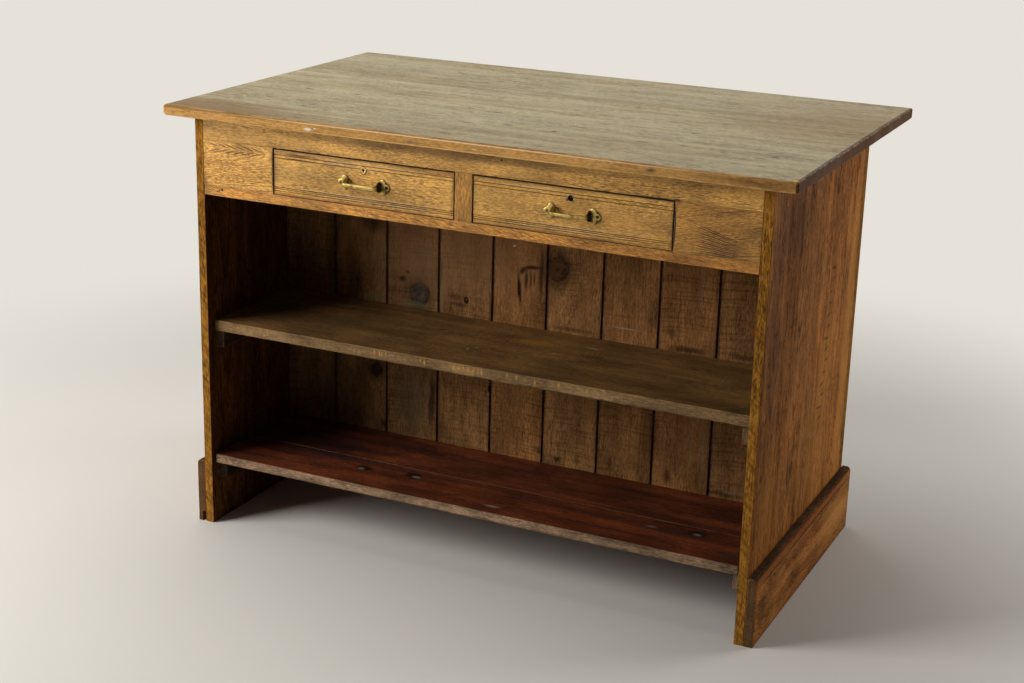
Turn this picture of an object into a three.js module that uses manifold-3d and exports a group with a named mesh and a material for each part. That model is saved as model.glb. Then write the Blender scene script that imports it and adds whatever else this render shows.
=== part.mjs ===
// Kitchen island: a boarded oak top on two end panels, with two drawers in the apron, two shelves under
// them and a partition of upright boards behind the shelves. The back is an open knee space.
// Millimetres, +Z up, drawers towards -Y. The origin is on the floor, under the middle of the top.

import * as THREE from "three";
import { mergeVertices } from "three/addons/utils/BufferGeometryUtils.js";
import Module from "manifold-3d";

const wasm = await Module();
wasm.setup();

// Top
const overallHeight = 914;
const topLength = 1325;
const topDepth = 817;
const topThickness = 22;
const topEdgeRadius = 6;
const topCornerRadius = 9;
const topBoardShares = [0.096, 0.247, 0.273, 0.217, 0.167];

// Carcass: the end panels and what stands at their back edges
const carcassWidth = 1222;
const carcassDepth = 644;
const frontOverhang = 36.5;
const panelThickness = 19;
const rearStileThickness = 21;
const rearStileWidth = 45;
const rearRailHeight = 90;
const rearRailThickness = 20;

// Plinth boards on the outside of the end panels
const plinthHeight = 141;
const plinthThickness = 18.5;
const plinthBackOverhang = 8;
const plinthTopRadius = 9;
const plinthGrooveDrop = 20;
const plinthGrooveWidth = 2.5;
const plinthGrooveDepth = 3;
const brokenCornerWidth = 9;
const brokenCornerHeight = 22;
const brokenCornerDepth = 34;

// Apron frame, flush with the panels' front edges
const topRailHeight = 47.5;
const apronThickness = 20;
const drawerOpeningWidth = 408;
const drawerOpeningHeight = 95;
const muntinWidth = 37;
const lowerRailHeight = 20;
const lowerRailDepth = 45;

// Partition boards
const frontBayDepth = 306;
const boardThickness = 19;
const boardPitch = 126.6;
const boardGap = 2.7;
const boardFloorGap = 8;
const leastBoardWidth = 30;
const boardPitchShares = [1.008, 1.023, 1.001, 1.01, 0.992, 0.995, 0.983, 0.998];

// Shelves and cleats
const middleShelfTop = 456;
const middleShelfThickness = 23;
const middleShelfSetBack = 19;
const bottomShelfTop = 158;
const bottomShelfThickness = 20;
const bottomShelfSetBack = 9;
const bottomShelfFrontBoardWidth = 131;
const shelfEndGap = 4;
const cleatThickness = 19;
const cleatHeight = 38;
const cleatSetBack = 27;

// Battens, runners and kickers
const runnerBattenHeight = 38;
const runnerBattenThickness = 20;
const topBattenHeight = 22;
const topBattenWidth = 40;
const runnerBearingWidth = 24;
const guideHeight = 20;
const guideThickness = 24;
const kickerWidth = 30;

// Drawers
const drawerSideGap = 2.5;
const drawerTopGap = 3;
const drawerBottomGap = 1;
const drawerFrontInset = 1;
const drawerFrontThickness = 19;
const drawerSideThickness = 12;
const drawerSideDrop = 2;
const drawerBackThickness = 12;
const drawerBackDrop = 6;
const drawerBottomThickness = 6;
const drawerBottomRise = 12;
const drawerGrooveDepth = 5;
const drawerRearGap = 1;
const guideGap = 1.5;
const reedWidth = 2;
const reedDepth = 1.2;
const upperReedDrops = [10, 16.5];
const lowerReedRises = [8, 12, 15.5];

// Locks and keyholes, each a little off its drawer's middle
const leftKeyholeShift = 3.5;
const rightKeyholeShift = -1.5;
const keyholeDrop = 18.5;
const keyholeRadius = 2.8;
const keySlotWidth = 2.6;
const keySlotLength = 5.2;
const escutcheonWidth = 12.5;
const escutcheonHeight = 14.5;
const escutcheonThickness = 1.6;
const escutcheonProud = 0.6;
const bareHoleWidth = 11.5;
const bareHoleHeight = 12.5;
const lockWidth = 46;
const lockHeight = 34;
const lockThickness = 9;
const lockRecessDepth = 6;
const lockPinRadius = 1.1;

// Pulls, each a little off its drawer's middle
const leftPullShift = 4.5;
const rightPullShift = 3;
const pullLength = 116;
const pullDrop = 47;
const plateThickness = 2.2;
const plateBodyRadius = 9.6;
const plateLobeRadius = 5;
const plateLobeReach = 10.4;
const postSpacing = 66;
const postThickness = 6;
const postBaseHeight = 21;
const pullStandOff = 24;
const pullBarThickness = 4.5;
const pullBendRadius = 7;
const leftBarHeight = 9;
const leftBarBow = 0.4;
const rightBarHeight = 7;
const rightBarBow = 1.6;
const screwRadius = 1.6;
const screwLength = 13;
const screwHeadRadius = 3.3;
const screwHeadHeight = 1.7;

// Clearance between faces that touch, and how far a cutter runs past what it cuts
const jointGap = 0.3;
const overrun = 4;

// Steps in a quarter round, a full round and a curve
const quarterSteps = 5;
const roundSteps = 24;
const curveSteps = 6;

// Places that several pieces share
const underTop = overallHeight - topThickness;
const frontPlane = -topDepth / 2 + frontOverhang;
const backPlane = frontPlane + carcassDepth;
const outerHalf = carcassWidth / 2;
const innerHalf = outerHalf - panelThickness;
const openingTop = underTop - topRailHeight;
const openingBottom = openingTop - drawerOpeningHeight;
const lowerRailBottom = openingBottom - lowerRailHeight;
const openingInner = muntinWidth / 2;
const openingOuter = openingInner + drawerOpeningWidth;
const openingMiddle = (openingInner + openingOuter) / 2;
const boardFront = frontPlane + frontBayDepth;
const boardBack = boardFront + boardThickness;

// Finishes
const finishes = {
  top: new THREE.MeshStandardMaterial({ color: "#a08a68", roughness: 0.5 }),
  honeyOak: new THREE.MeshStandardMaterial({ color: "#a8742f", roughness: 0.45 }),
  brownOak: new THREE.MeshStandardMaterial({ color: "#7a5226", roughness: 0.45 }),
  sawnPine: new THREE.MeshStandardMaterial({ color: "#6d4728", roughness: 0.7 }),
  shelfPine: new THREE.MeshStandardMaterial({ color: "#5d3f20", roughness: 0.5 }),
  redPine: new THREE.MeshStandardMaterial({ color: "#6b2f18", roughness: 0.45 }),
  rawWood: new THREE.MeshStandardMaterial({ color: "#b99e78", roughness: 0.8 }),
  brass: new THREE.MeshStandardMaterial({ color: "#c9a44d", roughness: 0.35, metalness: 1 }),
  steel: new THREE.MeshStandardMaterial({ color: "#8d8a84", roughness: 0.4, metalness: 1 }),
};

// A solid for cutting and joining, from a closed geometry.
function solidOf(geometry) {
  const bare = geometry.clone();
  bare.deleteAttribute("normal");
  bare.deleteAttribute("uv");
  const merged = mergeVertices(bare);
  return new wasm.Manifold(
    new wasm.Mesh({
      numProp: 3,
      vertProperties: merged.attributes.position.array,
      triVerts: Uint32Array.from(merged.index.array),
    }),
  );
}

// A geometry again, from a solid.
function geometryOf(solid) {
  const mesh = solid.getMesh();
  const geometry = new THREE.BufferGeometry();
  geometry.setAttribute("position", new THREE.BufferAttribute(mesh.vertProperties, 3));
  geometry.setIndex(new THREE.BufferAttribute(mesh.triVerts, 1));
  geometry.computeVertexNormals();
  return geometry;
}

function cut(base, ...cutters) {
  return geometryOf(cutters.reduce((solid, cutter) => solid.subtract(solidOf(cutter)), solidOf(base)));
}

function joined(first, ...others) {
  return geometryOf(others.reduce((solid, other) => solid.add(solidOf(other)), solidOf(first)));
}

function common(first, second) {
  return geometryOf(solidOf(first).intersect(solidOf(second)));
}

function piece(name, geometry, finish) {
  const mesh = new THREE.Mesh(geometry, finish);
  mesh.name = name;
  return mesh;
}

// A box between two corners.
function block([x0, x1], [y0, y1], [z0, z1]) {
  const geometry = new THREE.BoxGeometry(x1 - x0, y1 - y0, z1 - z0);
  return geometry.translate((x0 + x1) / 2, (y0 + y1) / 2, (z0 + z1) / 2);
}

// How an outline's two directions and its length lie along the axes.
const axisX = new THREE.Vector3(1, 0, 0);
const axisY = new THREE.Vector3(0, 1, 0);
const axisZ = new THREE.Vector3(0, 0, 1);
const basisAlong = {
  x: new THREE.Matrix4().makeBasis(axisY, axisZ, axisX),
  y: new THREE.Matrix4().makeBasis(axisZ, axisX, axisY),
};

function extruded(points, length) {
  const shape = new THREE.Shape(points.map(([u, v]) => new THREE.Vector2(u, v)));
  return new THREE.ExtrudeGeometry(shape, { depth: length, bevelEnabled: false });
}

// A bar along X with an outline of [y, z] points.
function barAlongX(points, [x0, x1]) {
  return extruded(points, x1 - x0).applyMatrix4(basisAlong.x).translate(x0, 0, 0);
}

// A bar along Y with an outline of [x, z] points.
function barAlongY(points, [y0, y1]) {
  const turned = points.map(([x, z]) => [z, x]);
  return extruded(turned, y1 - y0).applyMatrix4(basisAlong.y).translate(0, y0, 0);
}

// A bar along Z with an outline of [x, y] points.
function barAlongZ(points, [z0, z1]) {
  return extruded(points, z1 - z0).translate(0, 0, z0);
}

// Points of an arc between two angles, in quarter turns.
function arc([u, v], radius, fromQuarter, toQuarter, steps = quarterSteps) {
  const points = [];
  for (let i = 0; i <= steps; i += 1) {
    const angle = (Math.PI / 2) * (fromQuarter + ((toQuarter - fromQuarter) * i) / steps);
    points.push([u + radius * Math.cos(angle), v + radius * Math.sin(angle)]);
  }
  return points;
}

// Points round an ellipse.
function oval([u, v], width, height) {
  const points = [];
  for (let i = 0; i < roundSteps; i += 1) {
    const angle = (2 * Math.PI * i) / roundSteps;
    points.push([u + (width / 2) * Math.cos(angle), v + (height / 2) * Math.sin(angle)]);
  }
  return points;
}

// Top: a slab with rounded edges, sawn into boards along its length
function slab() {
  const halfLength = topLength / 2 - topEdgeRadius;
  const halfDepth = topDepth / 2 - topEdgeRadius;
  const radius = topCornerRadius - topEdgeRadius;
  const outline = [
    ...arc([halfLength - radius, halfDepth - radius], radius, 0, 1),
    ...arc([radius - halfLength, halfDepth - radius], radius, 1, 2),
    ...arc([radius - halfLength, radius - halfDepth], radius, 2, 3),
    ...arc([halfLength - radius, radius - halfDepth], radius, 3, 4),
  ];
  const shape = new THREE.Shape(outline.map(([x, y]) => new THREE.Vector2(x, y)));
  const geometry = new THREE.ExtrudeGeometry(shape, {
    depth: topThickness - 2 * topEdgeRadius,
    bevelEnabled: true,
    bevelThickness: topEdgeRadius,
    bevelSize: topEdgeRadius,
    bevelSegments: quarterSteps,
  });
  return geometry.translate(0, 0, underTop + topEdgeRadius);
}

function topBoards() {
  const whole = slab();
  const acrossX = [-topLength / 2 - overrun, topLength / 2 + overrun];
  const acrossZ = [underTop - overrun, overallHeight + overrun];
  const last = topBoardShares.length - 1;
  let front = -topDepth / 2;
  return topBoardShares.map((share, i) => {
    const back = front + share * topDepth;
    const from = i === 0 ? front - overrun : front + jointGap / 2;
    const to = i === last ? topDepth / 2 + overrun : back - jointGap / 2;
    front = back;
    return piece(`top_board_${i + 1}`, common(whole, block(acrossX, [from, to], acrossZ)), finishes.top);
  });
}

// Ends: a panel, the stile at its back edge, and the plinth board on its outside
function sidePiece(side, name, finish, [x0, x1], yRange, zRange) {
  const xRange = side < 0 ? [-x1, -x0] : [x0, x1];
  return piece(name, block(xRange, yRange, zRange), finish);
}

function plinthBoard(side, name) {
  const inner = outerHalf + jointGap;
  const outer = inner + plinthThickness;
  const grooveTop = plinthHeight - plinthGrooveDrop;
  const grooveBottom = grooveTop - plinthGrooveWidth;
  const outline = [
    [inner, 0],
    [outer, 0],
    [outer, grooveBottom],
    [outer - plinthGrooveDepth, grooveBottom],
    [outer - plinthGrooveDepth, grooveTop],
    [outer, grooveTop],
    ...arc([outer - plinthTopRadius, plinthHeight - plinthTopRadius], plinthTopRadius, 0, 1),
    [inner, plinthHeight],
  ];
  const mirrored = outline.map(([x, z]) => [side * x, z]);
  const board = barAlongY(mirrored, [frontPlane, backPlane + plinthBackOverhang]);
  return piece(name, side < 0 ? withBrokenCorner(board, -inner) : board, finishes.brownOak);
}

// The front bottom corner next to the left panel is split away.
function withBrokenCorner(board, inner) {
  const outline = [
    [inner + overrun, -overrun],
    [inner + overrun, brokenCornerHeight],
    [inner - brokenCornerWidth / 2, brokenCornerHeight],
    [inner - brokenCornerWidth, brokenCornerHeight / 2],
    [inner - brokenCornerWidth, -overrun],
  ];
  return cut(board, barAlongY(outline, [frontPlane - overrun, frontPlane + brokenCornerDepth]));
}

function ends() {
  const upright = [0, underTop - jointGap];
  const panelBack = backPlane - rearStileThickness - jointGap;
  const pieces = [];
  for (const [side, word] of [[-1, "left"], [1, "right"]]) {
    pieces.push(
      sidePiece(side, `${word}_end_panel`, finishes.brownOak, [innerHalf, outerHalf],
        [frontPlane, panelBack], upright),
      sidePiece(side, `${word}_rear_stile`, finishes.brownOak, [outerHalf - rearStileWidth, outerHalf],
        [backPlane - rearStileThickness, backPlane], upright),
      plinthBoard(side, `${word}_plinth_board`),
    );
  }
  return pieces;
}

function rearRail() {
  const half = outerHalf - rearStileWidth - jointGap;
  const yRange = [backPlane - rearRailThickness, backPlane];
  const zRange = [underTop - rearRailHeight, underTop - jointGap];
  return piece("rear_rail", block([-half, half], yRange, zRange), finishes.brownOak);
}

// Apron: rails, fillers and the muntin between the drawers
function apron() {
  const half = innerHalf - jointGap;
  const front = [frontPlane, frontPlane + apronThickness];
  const between = [openingBottom + jointGap, openingTop - jointGap];
  const railAcross = [-half, half];
  return [
    piece("top_rail", block(railAcross, front, [openingTop, underTop - jointGap]), finishes.honeyOak),
    piece("lower_rail",
      block(railAcross, [frontPlane, frontPlane + lowerRailDepth], [lowerRailBottom, openingBottom]),
      finishes.honeyOak),
    piece("left_filler", block([-half, -openingOuter], front, between), finishes.honeyOak),
    piece("centre_muntin", block([-openingInner, openingInner], front, between), finishes.honeyOak),
    piece("right_filler", block([openingOuter, half], front, between), finishes.honeyOak),
  ];
}

// Partition: upright boards side by side, the last one ripped to what is left
function partitionBoards() {
  const pieces = [];
  const right = innerHalf - jointGap;
  let left = jointGap - innerHalf;
  while (right - left > leastBoardWidth) {
    const index = pieces.length;
    const pitch = boardPitch * (boardPitchShares[index] ?? 1);
    const rest = right - left - pitch;
    const edge = rest > leastBoardWidth ? left + pitch - boardGap : right;
    const name = `back_board_${String(index + 1).padStart(2, "0")}`;
    const zRange = [boardFloorGap, underTop - jointGap];
    pieces.push(piece(name, block([left, edge], [boardFront, boardBack], zRange), finishes.sawnPine));
    left = edge + boardGap;
  }
  return pieces;
}

// Shelves, each end on a cleat
function shelves() {
  const half = innerHalf - shelfEndGap;
  const across = [-half, half];
  const rear = boardFront - jointGap;
  const middleY = [frontPlane + middleShelfSetBack, rear];
  const middleZ = [middleShelfTop - middleShelfThickness, middleShelfTop];
  const bottomZ = [bottomShelfTop - bottomShelfThickness, bottomShelfTop];
  const bottomFront = frontPlane + bottomShelfSetBack;
  const seam = bottomFront + bottomShelfFrontBoardWidth;
  return [
    piece("middle_shelf", block(across, middleY, middleZ), finishes.shelfPine),
    piece("bottom_shelf_front_board", block(across, [bottomFront, seam], bottomZ), finishes.redPine),
    piece("bottom_shelf_rear_board", block(across, [seam + jointGap, rear], bottomZ), finishes.redPine),
  ];
}

function cleats() {
  const pieces = [];
  const xRange = [innerHalf - jointGap - cleatThickness, innerHalf - jointGap];
  const yRange = [frontPlane + cleatSetBack, boardFront - jointGap];
  const undersides = {
    middle: middleShelfTop - middleShelfThickness,
    bottom: bottomShelfTop - bottomShelfThickness,
  };
  for (const [shelf, underside] of Object.entries(undersides)) {
    const zRange = [underside - jointGap - cleatHeight, underside - jointGap];
    pieces.push(
      sidePiece(-1, `left_${shelf}_cleat`, finishes.rawWood, xRange, yRange, zRange),
      sidePiece(1, `right_${shelf}_cleat`, finishes.rawWood, xRange, yRange, zRange),
    );
  }
  return pieces;
}

// Battens across the front of the partition, hidden by the apron
function battens() {
  const half = innerHalf - jointGap;
  const across = [-half, half];
  const rear = boardFront - jointGap;
  const underRunners = lowerRailBottom - jointGap;
  const runnerBattenZ = [underRunners - runnerBattenHeight, underRunners];
  const topBattenZ = [underTop - jointGap - topBattenHeight, underTop - jointGap];
  const runnerBatten = block(across, [rear - runnerBattenThickness, rear], runnerBattenZ);
  const topBatten = block(across, [rear - topBattenWidth, rear], topBattenZ);
  return [
    piece("runner_batten", runnerBatten, finishes.rawWood),
    piece("top_batten", topBatten, finishes.rawWood),
  ];
}

// Runners: a flat bearing under the drawer sides, with a guide standing on it beside them
function runners() {
  const yRange = [frontPlane + lowerRailDepth + jointGap, boardFront - jointGap];
  const sideFace = openingOuter - drawerSideGap;
  const guideFace = sideFace + guideGap;
  const innerFace = openingInner + drawerSideGap;
  const centreGuide = innerFace - guideGap;
  const bearingEdge = innerFace + runnerBearingWidth;
  const guideTop = openingBottom + guideHeight;
  const outerRunner = [
    [sideFace - runnerBearingWidth, lowerRailBottom],
    [guideFace + guideThickness, lowerRailBottom],
    [guideFace + guideThickness, guideTop],
    [guideFace, guideTop],
    [guideFace, openingBottom],
    [sideFace - runnerBearingWidth, openingBottom],
  ];
  const centreRunner = [
    [-bearingEdge, lowerRailBottom],
    [bearingEdge, lowerRailBottom],
    [bearingEdge, openingBottom],
    [centreGuide, openingBottom],
    [centreGuide, guideTop],
    [-centreGuide, guideTop],
    [-centreGuide, openingBottom],
    [-bearingEdge, openingBottom],
  ];
  const mirrored = outerRunner.map(([x, z]) => [-x, z]);
  return [
    piece("left_runner", barAlongY(mirrored, yRange), finishes.rawWood),
    piece("centre_runner", barAlongY(centreRunner, yRange), finishes.rawWood),
    piece("right_runner", barAlongY(outerRunner, yRange), finishes.rawWood),
  ];
}

// Kickers: a bar over the middle of each drawer, so that it doesn't tip as it comes out
function kickers() {
  const yRange = [frontPlane + apronThickness + jointGap, boardFront - jointGap];
  const zRange = [openingTop, underTop - jointGap - topBattenHeight - jointGap];
  const xRange = [openingMiddle - kickerWidth / 2, openingMiddle + kickerWidth / 2];
  return [
    sidePiece(-1, "left_kicker", finishes.rawWood, xRange, yRange, zRange),
    sidePiece(1, "right_kicker", finishes.rawWood, xRange, yRange, zRange),
  ];
}

// Drawers, each in its own place: X from its middle, Y back from the carcass front, Z up from its opening
const drawerHalf = drawerOpeningWidth / 2 - drawerSideGap;
const drawerFrontTop = drawerOpeningHeight - drawerTopGap;
const drawerFace = drawerFrontInset;
const drawerFrontBack = drawerFace + drawerFrontThickness;
const drawerRear = frontBayDepth - drawerRearGap;
const drawerSideTop = drawerFrontTop - drawerSideDrop;
const bottomUnderside = jointGap + drawerBottomRise;
const bottomTopside = bottomUnderside + drawerBottomThickness;
const keyholeZ = drawerFrontTop - keyholeDrop;
const pullZ = drawerFrontTop - pullDrop;
const lockTop = drawerFrontTop - jointGap;
const lockFace = drawerFrontBack - jointGap - lockThickness;
const plateMiddle = pullLength / 2 - plateLobeReach - plateLobeRadius;
const screwX = plateMiddle + plateLobeReach;

// The front's section, with reeds cut in its face and the bottom's groove in its back.
function drawerFrontOutline() {
  const reed = (z) => [
    [drawerFace, z - reedWidth / 2],
    [drawerFace + reedDepth, z],
    [drawerFace, z + reedWidth / 2],
  ];
  const reedHeights = [
    ...lowerReedRises.map((rise) => drawerBottomGap + rise),
    ...upperReedDrops.map((drop) => drawerFrontTop - drop).reverse(),
  ];
  return [
    [drawerFace, drawerBottomGap],
    ...reedHeights.flatMap(reed),
    [drawerFace, drawerFrontTop],
    [drawerFrontBack, drawerFrontTop],
    [drawerFrontBack, bottomTopside + jointGap],
    [drawerFrontBack - drawerGrooveDepth, bottomTopside + jointGap],
    [drawerFrontBack - drawerGrooveDepth, bottomUnderside - jointGap],
    [drawerFrontBack, bottomUnderside - jointGap],
    [drawerFrontBack, drawerBottomGap],
  ];
}

// A keyhole: a round hole with a slot under it.
function keyholeOutline([x, z]) {
  const slotHalf = keySlotWidth / 2;
  const dip = Math.asin(slotHalf / keyholeRadius) / (Math.PI / 2);
  return [
    [x + slotHalf, z - keySlotLength],
    ...arc([x, z], keyholeRadius, dip - 1, 3 - dip, roundSteps),
    [x - slotHalf, z - keySlotLength],
  ];
}

// The front, bored for the pull's screws and the key, with a pocket for the lock in its back.
function drawerFront(name, { keyholeX, pullX, hasEscutcheon }) {
  const throughWood = [drawerFace - overrun, lockFace];
  const lockPocket = block(
    [keyholeX - lockWidth / 2 - jointGap, keyholeX + lockWidth / 2 + jointGap],
    [lockFace - jointGap, drawerFrontBack + overrun],
    [lockTop - lockHeight - jointGap, drawerFrontTop + overrun],
  );
  const cutters = [lockPocket];
  if (hasEscutcheon) {
    const recessWidth = escutcheonWidth + 2 * jointGap;
    const recessHeight = escutcheonHeight + 2 * jointGap;
    const recessBack = drawerFace + escutcheonThickness - escutcheonProud + jointGap;
    const recess = oval([keyholeX, keyholeZ], recessWidth, recessHeight);
    cutters.push(barAlongY(recess, [drawerFace - overrun, recessBack]));
    cutters.push(barAlongY(keyholeOutline([keyholeX, keyholeZ]), throughWood));
  } else {
    cutters.push(barAlongY(oval([keyholeX, keyholeZ], bareHoleWidth, bareHoleHeight), throughWood));
  }
  const pilotWidth = 2 * (screwRadius + jointGap);
  for (const x of [pullX - screwX, pullX + screwX]) {
    const pilot = oval([x, pullZ], pilotWidth, pilotWidth);
    cutters.push(barAlongY(pilot, [drawerFace - overrun, drawerFace + screwLength]));
  }
  const bar = barAlongX(drawerFrontOutline(), [-drawerHalf, drawerHalf]);
  return piece(name, cut(bar, ...cutters), finishes.honeyOak);
}

function drawerSide(side, name) {
  const outer = drawerHalf;
  const inner = outer - drawerSideThickness;
  const outline = [
    [outer, jointGap],
    [outer, drawerSideTop],
    [inner, drawerSideTop],
    [inner, bottomTopside + jointGap],
    [inner + drawerGrooveDepth, bottomTopside + jointGap],
    [inner + drawerGrooveDepth, bottomUnderside - jointGap],
    [inner, bottomUnderside - jointGap],
    [inner, jointGap],
  ];
  const mirrored = outline.map(([x, z]) => [side * x, z]);
  return piece(name, barAlongY(mirrored, [drawerFrontBack + jointGap, drawerRear]), finishes.rawWood);
}

function drawerBack(name) {
  const half = drawerHalf - drawerSideThickness - jointGap;
  const yRange = [drawerRear - drawerBackThickness, drawerRear];
  const zRange = [bottomTopside + jointGap, drawerSideTop - drawerBackDrop];
  return piece(name, block([-half, half], yRange, zRange), finishes.rawWood);
}

function drawerBottom(name) {
  const half = drawerHalf - drawerSideThickness + drawerGrooveDepth - jointGap;
  const yRange = [drawerFrontBack - drawerGrooveDepth + jointGap, drawerRear];
  return piece(name, block([-half, half], yRange, [bottomUnderside, bottomTopside]), finishes.rawWood);
}

// A half-mortise lock: a case with a key recess and a pin in it.
function lock(name, x) {
  const xRange = [x - lockWidth / 2, x + lockWidth / 2];
  const yRange = [lockFace, lockFace + lockThickness];
  const lockCase = block(xRange, yRange, [lockTop - lockHeight, lockTop]);
  const recess = barAlongY(keyholeOutline([x, keyholeZ]), [lockFace - overrun, lockFace + lockRecessDepth]);
  const pin = barAlongY(oval([x, keyholeZ], 2 * lockPinRadius, 2 * lockPinRadius), yRange);
  return piece(name, joined(cut(lockCase, recess), pin), finishes.steel);
}

function escutcheon(name, x) {
  const face = drawerFace - escutcheonProud;
  const yRange = [face, face + escutcheonThickness];
  const plate = barAlongY(oval([x, keyholeZ], escutcheonWidth, escutcheonHeight), yRange);
  const hole = barAlongY(keyholeOutline([x, keyholeZ]), [yRange[0] - overrun, yRange[1] + overrun]);
  return piece(name, cut(plate, hole), finishes.brass);
}

// A pull's end plate: a round body with four lobes.
function pullPlate(side) {
  const yRange = [drawerFace - jointGap - plateThickness, drawerFace - jointGap];
  const disc = (x, z, radius) => barAlongY(oval([side * x, z], 2 * radius, 2 * radius), yRange);
  const lobes = [
    disc(plateMiddle + plateLobeReach, pullZ, plateLobeRadius),
    disc(plateMiddle - plateLobeReach, pullZ, plateLobeRadius),
    disc(plateMiddle, pullZ + plateLobeReach, plateLobeRadius),
    disc(plateMiddle, pullZ - plateLobeReach, plateLobeRadius),
  ];
  return joined(disc(plateMiddle, pullZ, plateBodyRadius), ...lobes);
}

// The bar and its two posts seen from above: out from one plate, along with a slight bow, and back.
function pullPlan(bow) {
  const seat = drawerFace - jointGap - plateThickness / 2;
  const crest = drawerFace - pullStandOff;
  const inside = crest + pullBarThickness;
  const innerX = postSpacing / 2;
  const outerX = innerX + postThickness;
  const innerBend = pullBendRadius - pullBarThickness;
  const bowed = (reach, y, from, to) => {
    const points = [];
    for (let i = 1; i < curveSteps; i += 1) {
      const share = from + ((to - from) * i) / curveSteps;
      points.push([reach * share, y - bow * (1 - share * share)]);
    }
    return points;
  };
  return [
    [-outerX, seat],
    ...arc([pullBendRadius - outerX, crest + pullBendRadius], pullBendRadius, 2, 3),
    ...bowed(outerX - pullBendRadius, crest, -1, 1),
    ...arc([outerX - pullBendRadius, crest + pullBendRadius], pullBendRadius, 3, 4),
    [outerX, seat],
    [innerX, seat],
    ...arc([innerX - innerBend, inside + innerBend], innerBend, 4, 3),
    ...bowed(innerX - innerBend, inside, 1, -1),
    ...arc([innerBend - innerX, inside + innerBend], innerBend, 3, 2),
    [-innerX, seat],
  ];
}

// The same seen from the end: as tall as the bar in front, flaring to the plates.
function pullFlare(barHeight) {
  const seat = drawerFace - jointGap - plateThickness / 2;
  const flareFront = drawerFace - pullStandOff + pullBarThickness;
  const points = [];
  for (let i = 0; i <= curveSteps; i += 1) {
    const share = i / curveSteps;
    const half = barHeight / 2 + ((postBaseHeight - barHeight) / 2) * share * share;
    points.push([flareFront + (seat - flareFront) * share, half]);
  }
  const front = drawerFace - pullStandOff - overrun;
  const upper = [[front, barHeight / 2], ...points];
  const lower = upper.map(([y, z]) => [y, -z]).reverse();
  return [...upper, ...lower].map(([y, z]) => [y, pullZ + z]);
}

function pull(name, x, barHeight, bow) {
  const plan = barAlongZ(pullPlan(bow), [pullZ - postBaseHeight, pullZ + postBaseHeight]);
  const reach = pullLength / 2;
  const bar = common(plan, barAlongX(pullFlare(barHeight), [-reach, reach]));
  const whole = joined(pullPlate(-1), pullPlate(1), bar);
  const holeWidth = 2 * (screwRadius + jointGap);
  const holeY = [drawerFace - plateThickness - overrun, drawerFace + overrun];
  const hole = (place) => barAlongY(oval([place, pullZ], holeWidth, holeWidth), holeY);
  return piece(name, cut(whole, hole(-screwX), hole(screwX)).translate(x, 0, 0), finishes.brass);
}

// A round-headed screw, its head on the plate and its shank in the wood.
function pullScrew(name, x) {
  const seat = plateThickness + 2 * jointGap;
  const tip = jointGap - screwLength;
  const profile = [[0, tip], [screwRadius, tip], [screwRadius, seat], [screwHeadRadius, seat]];
  for (let i = 1; i < curveSteps; i += 1) {
    const angle = (Math.PI / 2) * (i / curveSteps);
    profile.push([screwHeadRadius * Math.cos(angle), seat + screwHeadHeight * Math.sin(angle)]);
  }
  profile.push([0, seat + screwHeadHeight]);
  const points = profile.map(([radius, height]) => new THREE.Vector2(radius, height));
  const geometry = new THREE.LatheGeometry(points, roundSteps / 2);
  return piece(name, geometry.rotateX(Math.PI).translate(x, drawerFace, pullZ), finishes.brass);
}

function drawer(word, middle, options) {
  const { keyholeX, pullX, barHeight, bow, hasEscutcheon } = options;
  const group = new THREE.Group();
  group.position.set(middle, frontPlane, openingBottom);
  group.add(
    drawerFront(`${word}_drawer_front`, options),
    drawerSide(-1, `${word}_drawer_left_side`),
    drawerSide(1, `${word}_drawer_right_side`),
    drawerBack(`${word}_drawer_back`),
    drawerBottom(`${word}_drawer_bottom`),
    lock(`${word}_drawer_lock`, keyholeX),
    pull(`${word}_drawer_pull`, pullX, barHeight, bow),
    pullScrew(`${word}_pull_left_screw`, pullX - screwX),
    pullScrew(`${word}_pull_right_screw`, pullX + screwX),
  );
  if (hasEscutcheon) {
    group.add(escutcheon(`${word}_keyhole_escutcheon`, keyholeX));
  }
  return group;
}

const leftDrawer = {
  keyholeX: leftKeyholeShift,
  pullX: leftPullShift,
  barHeight: leftBarHeight,
  bow: leftBarBow,
  hasEscutcheon: true,
};
const rightDrawer = {
  keyholeX: rightKeyholeShift,
  pullX: rightPullShift,
  barHeight: rightBarHeight,
  bow: rightBarBow,
  hasEscutcheon: false,
};

const island = new THREE.Group();
island.add(
  ...topBoards(),
  ...ends(),
  rearRail(),
  ...apron(),
  ...partitionBoards(),
  ...shelves(),
  ...cleats(),
  ...battens(),
  ...runners(),
  ...kickers(),
  drawer("left", -openingMiddle, leftDrawer),
  drawer("right", openingMiddle, rightDrawer),
);

export default island;
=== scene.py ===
"""Looks of an old kitchen island: a boarded oak top, two drawers, two shelves and a partition of sawn boards.

The frame gives the pieces' sizes, places and motion. Here each board is built again with worn arrises, the
brass is built smooth, and every surface gets its finish. +Z is up and the drawers look towards -Y. Sizes are
in metres, and those of finishes, marks and knots in millimetres. Angles are in degrees, and strengths run
from 0 to 1.
"""

import itertools
import logging
import math
from dataclasses import dataclass, field
from enum import Enum
from typing import Callable, Sequence

import bmesh
import bpy
import numpy as np
from bpy.types import Material, Mesh, Node, NodeSocket as Socket, NodeTree, Object
from mathutils import Matrix, Vector


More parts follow.
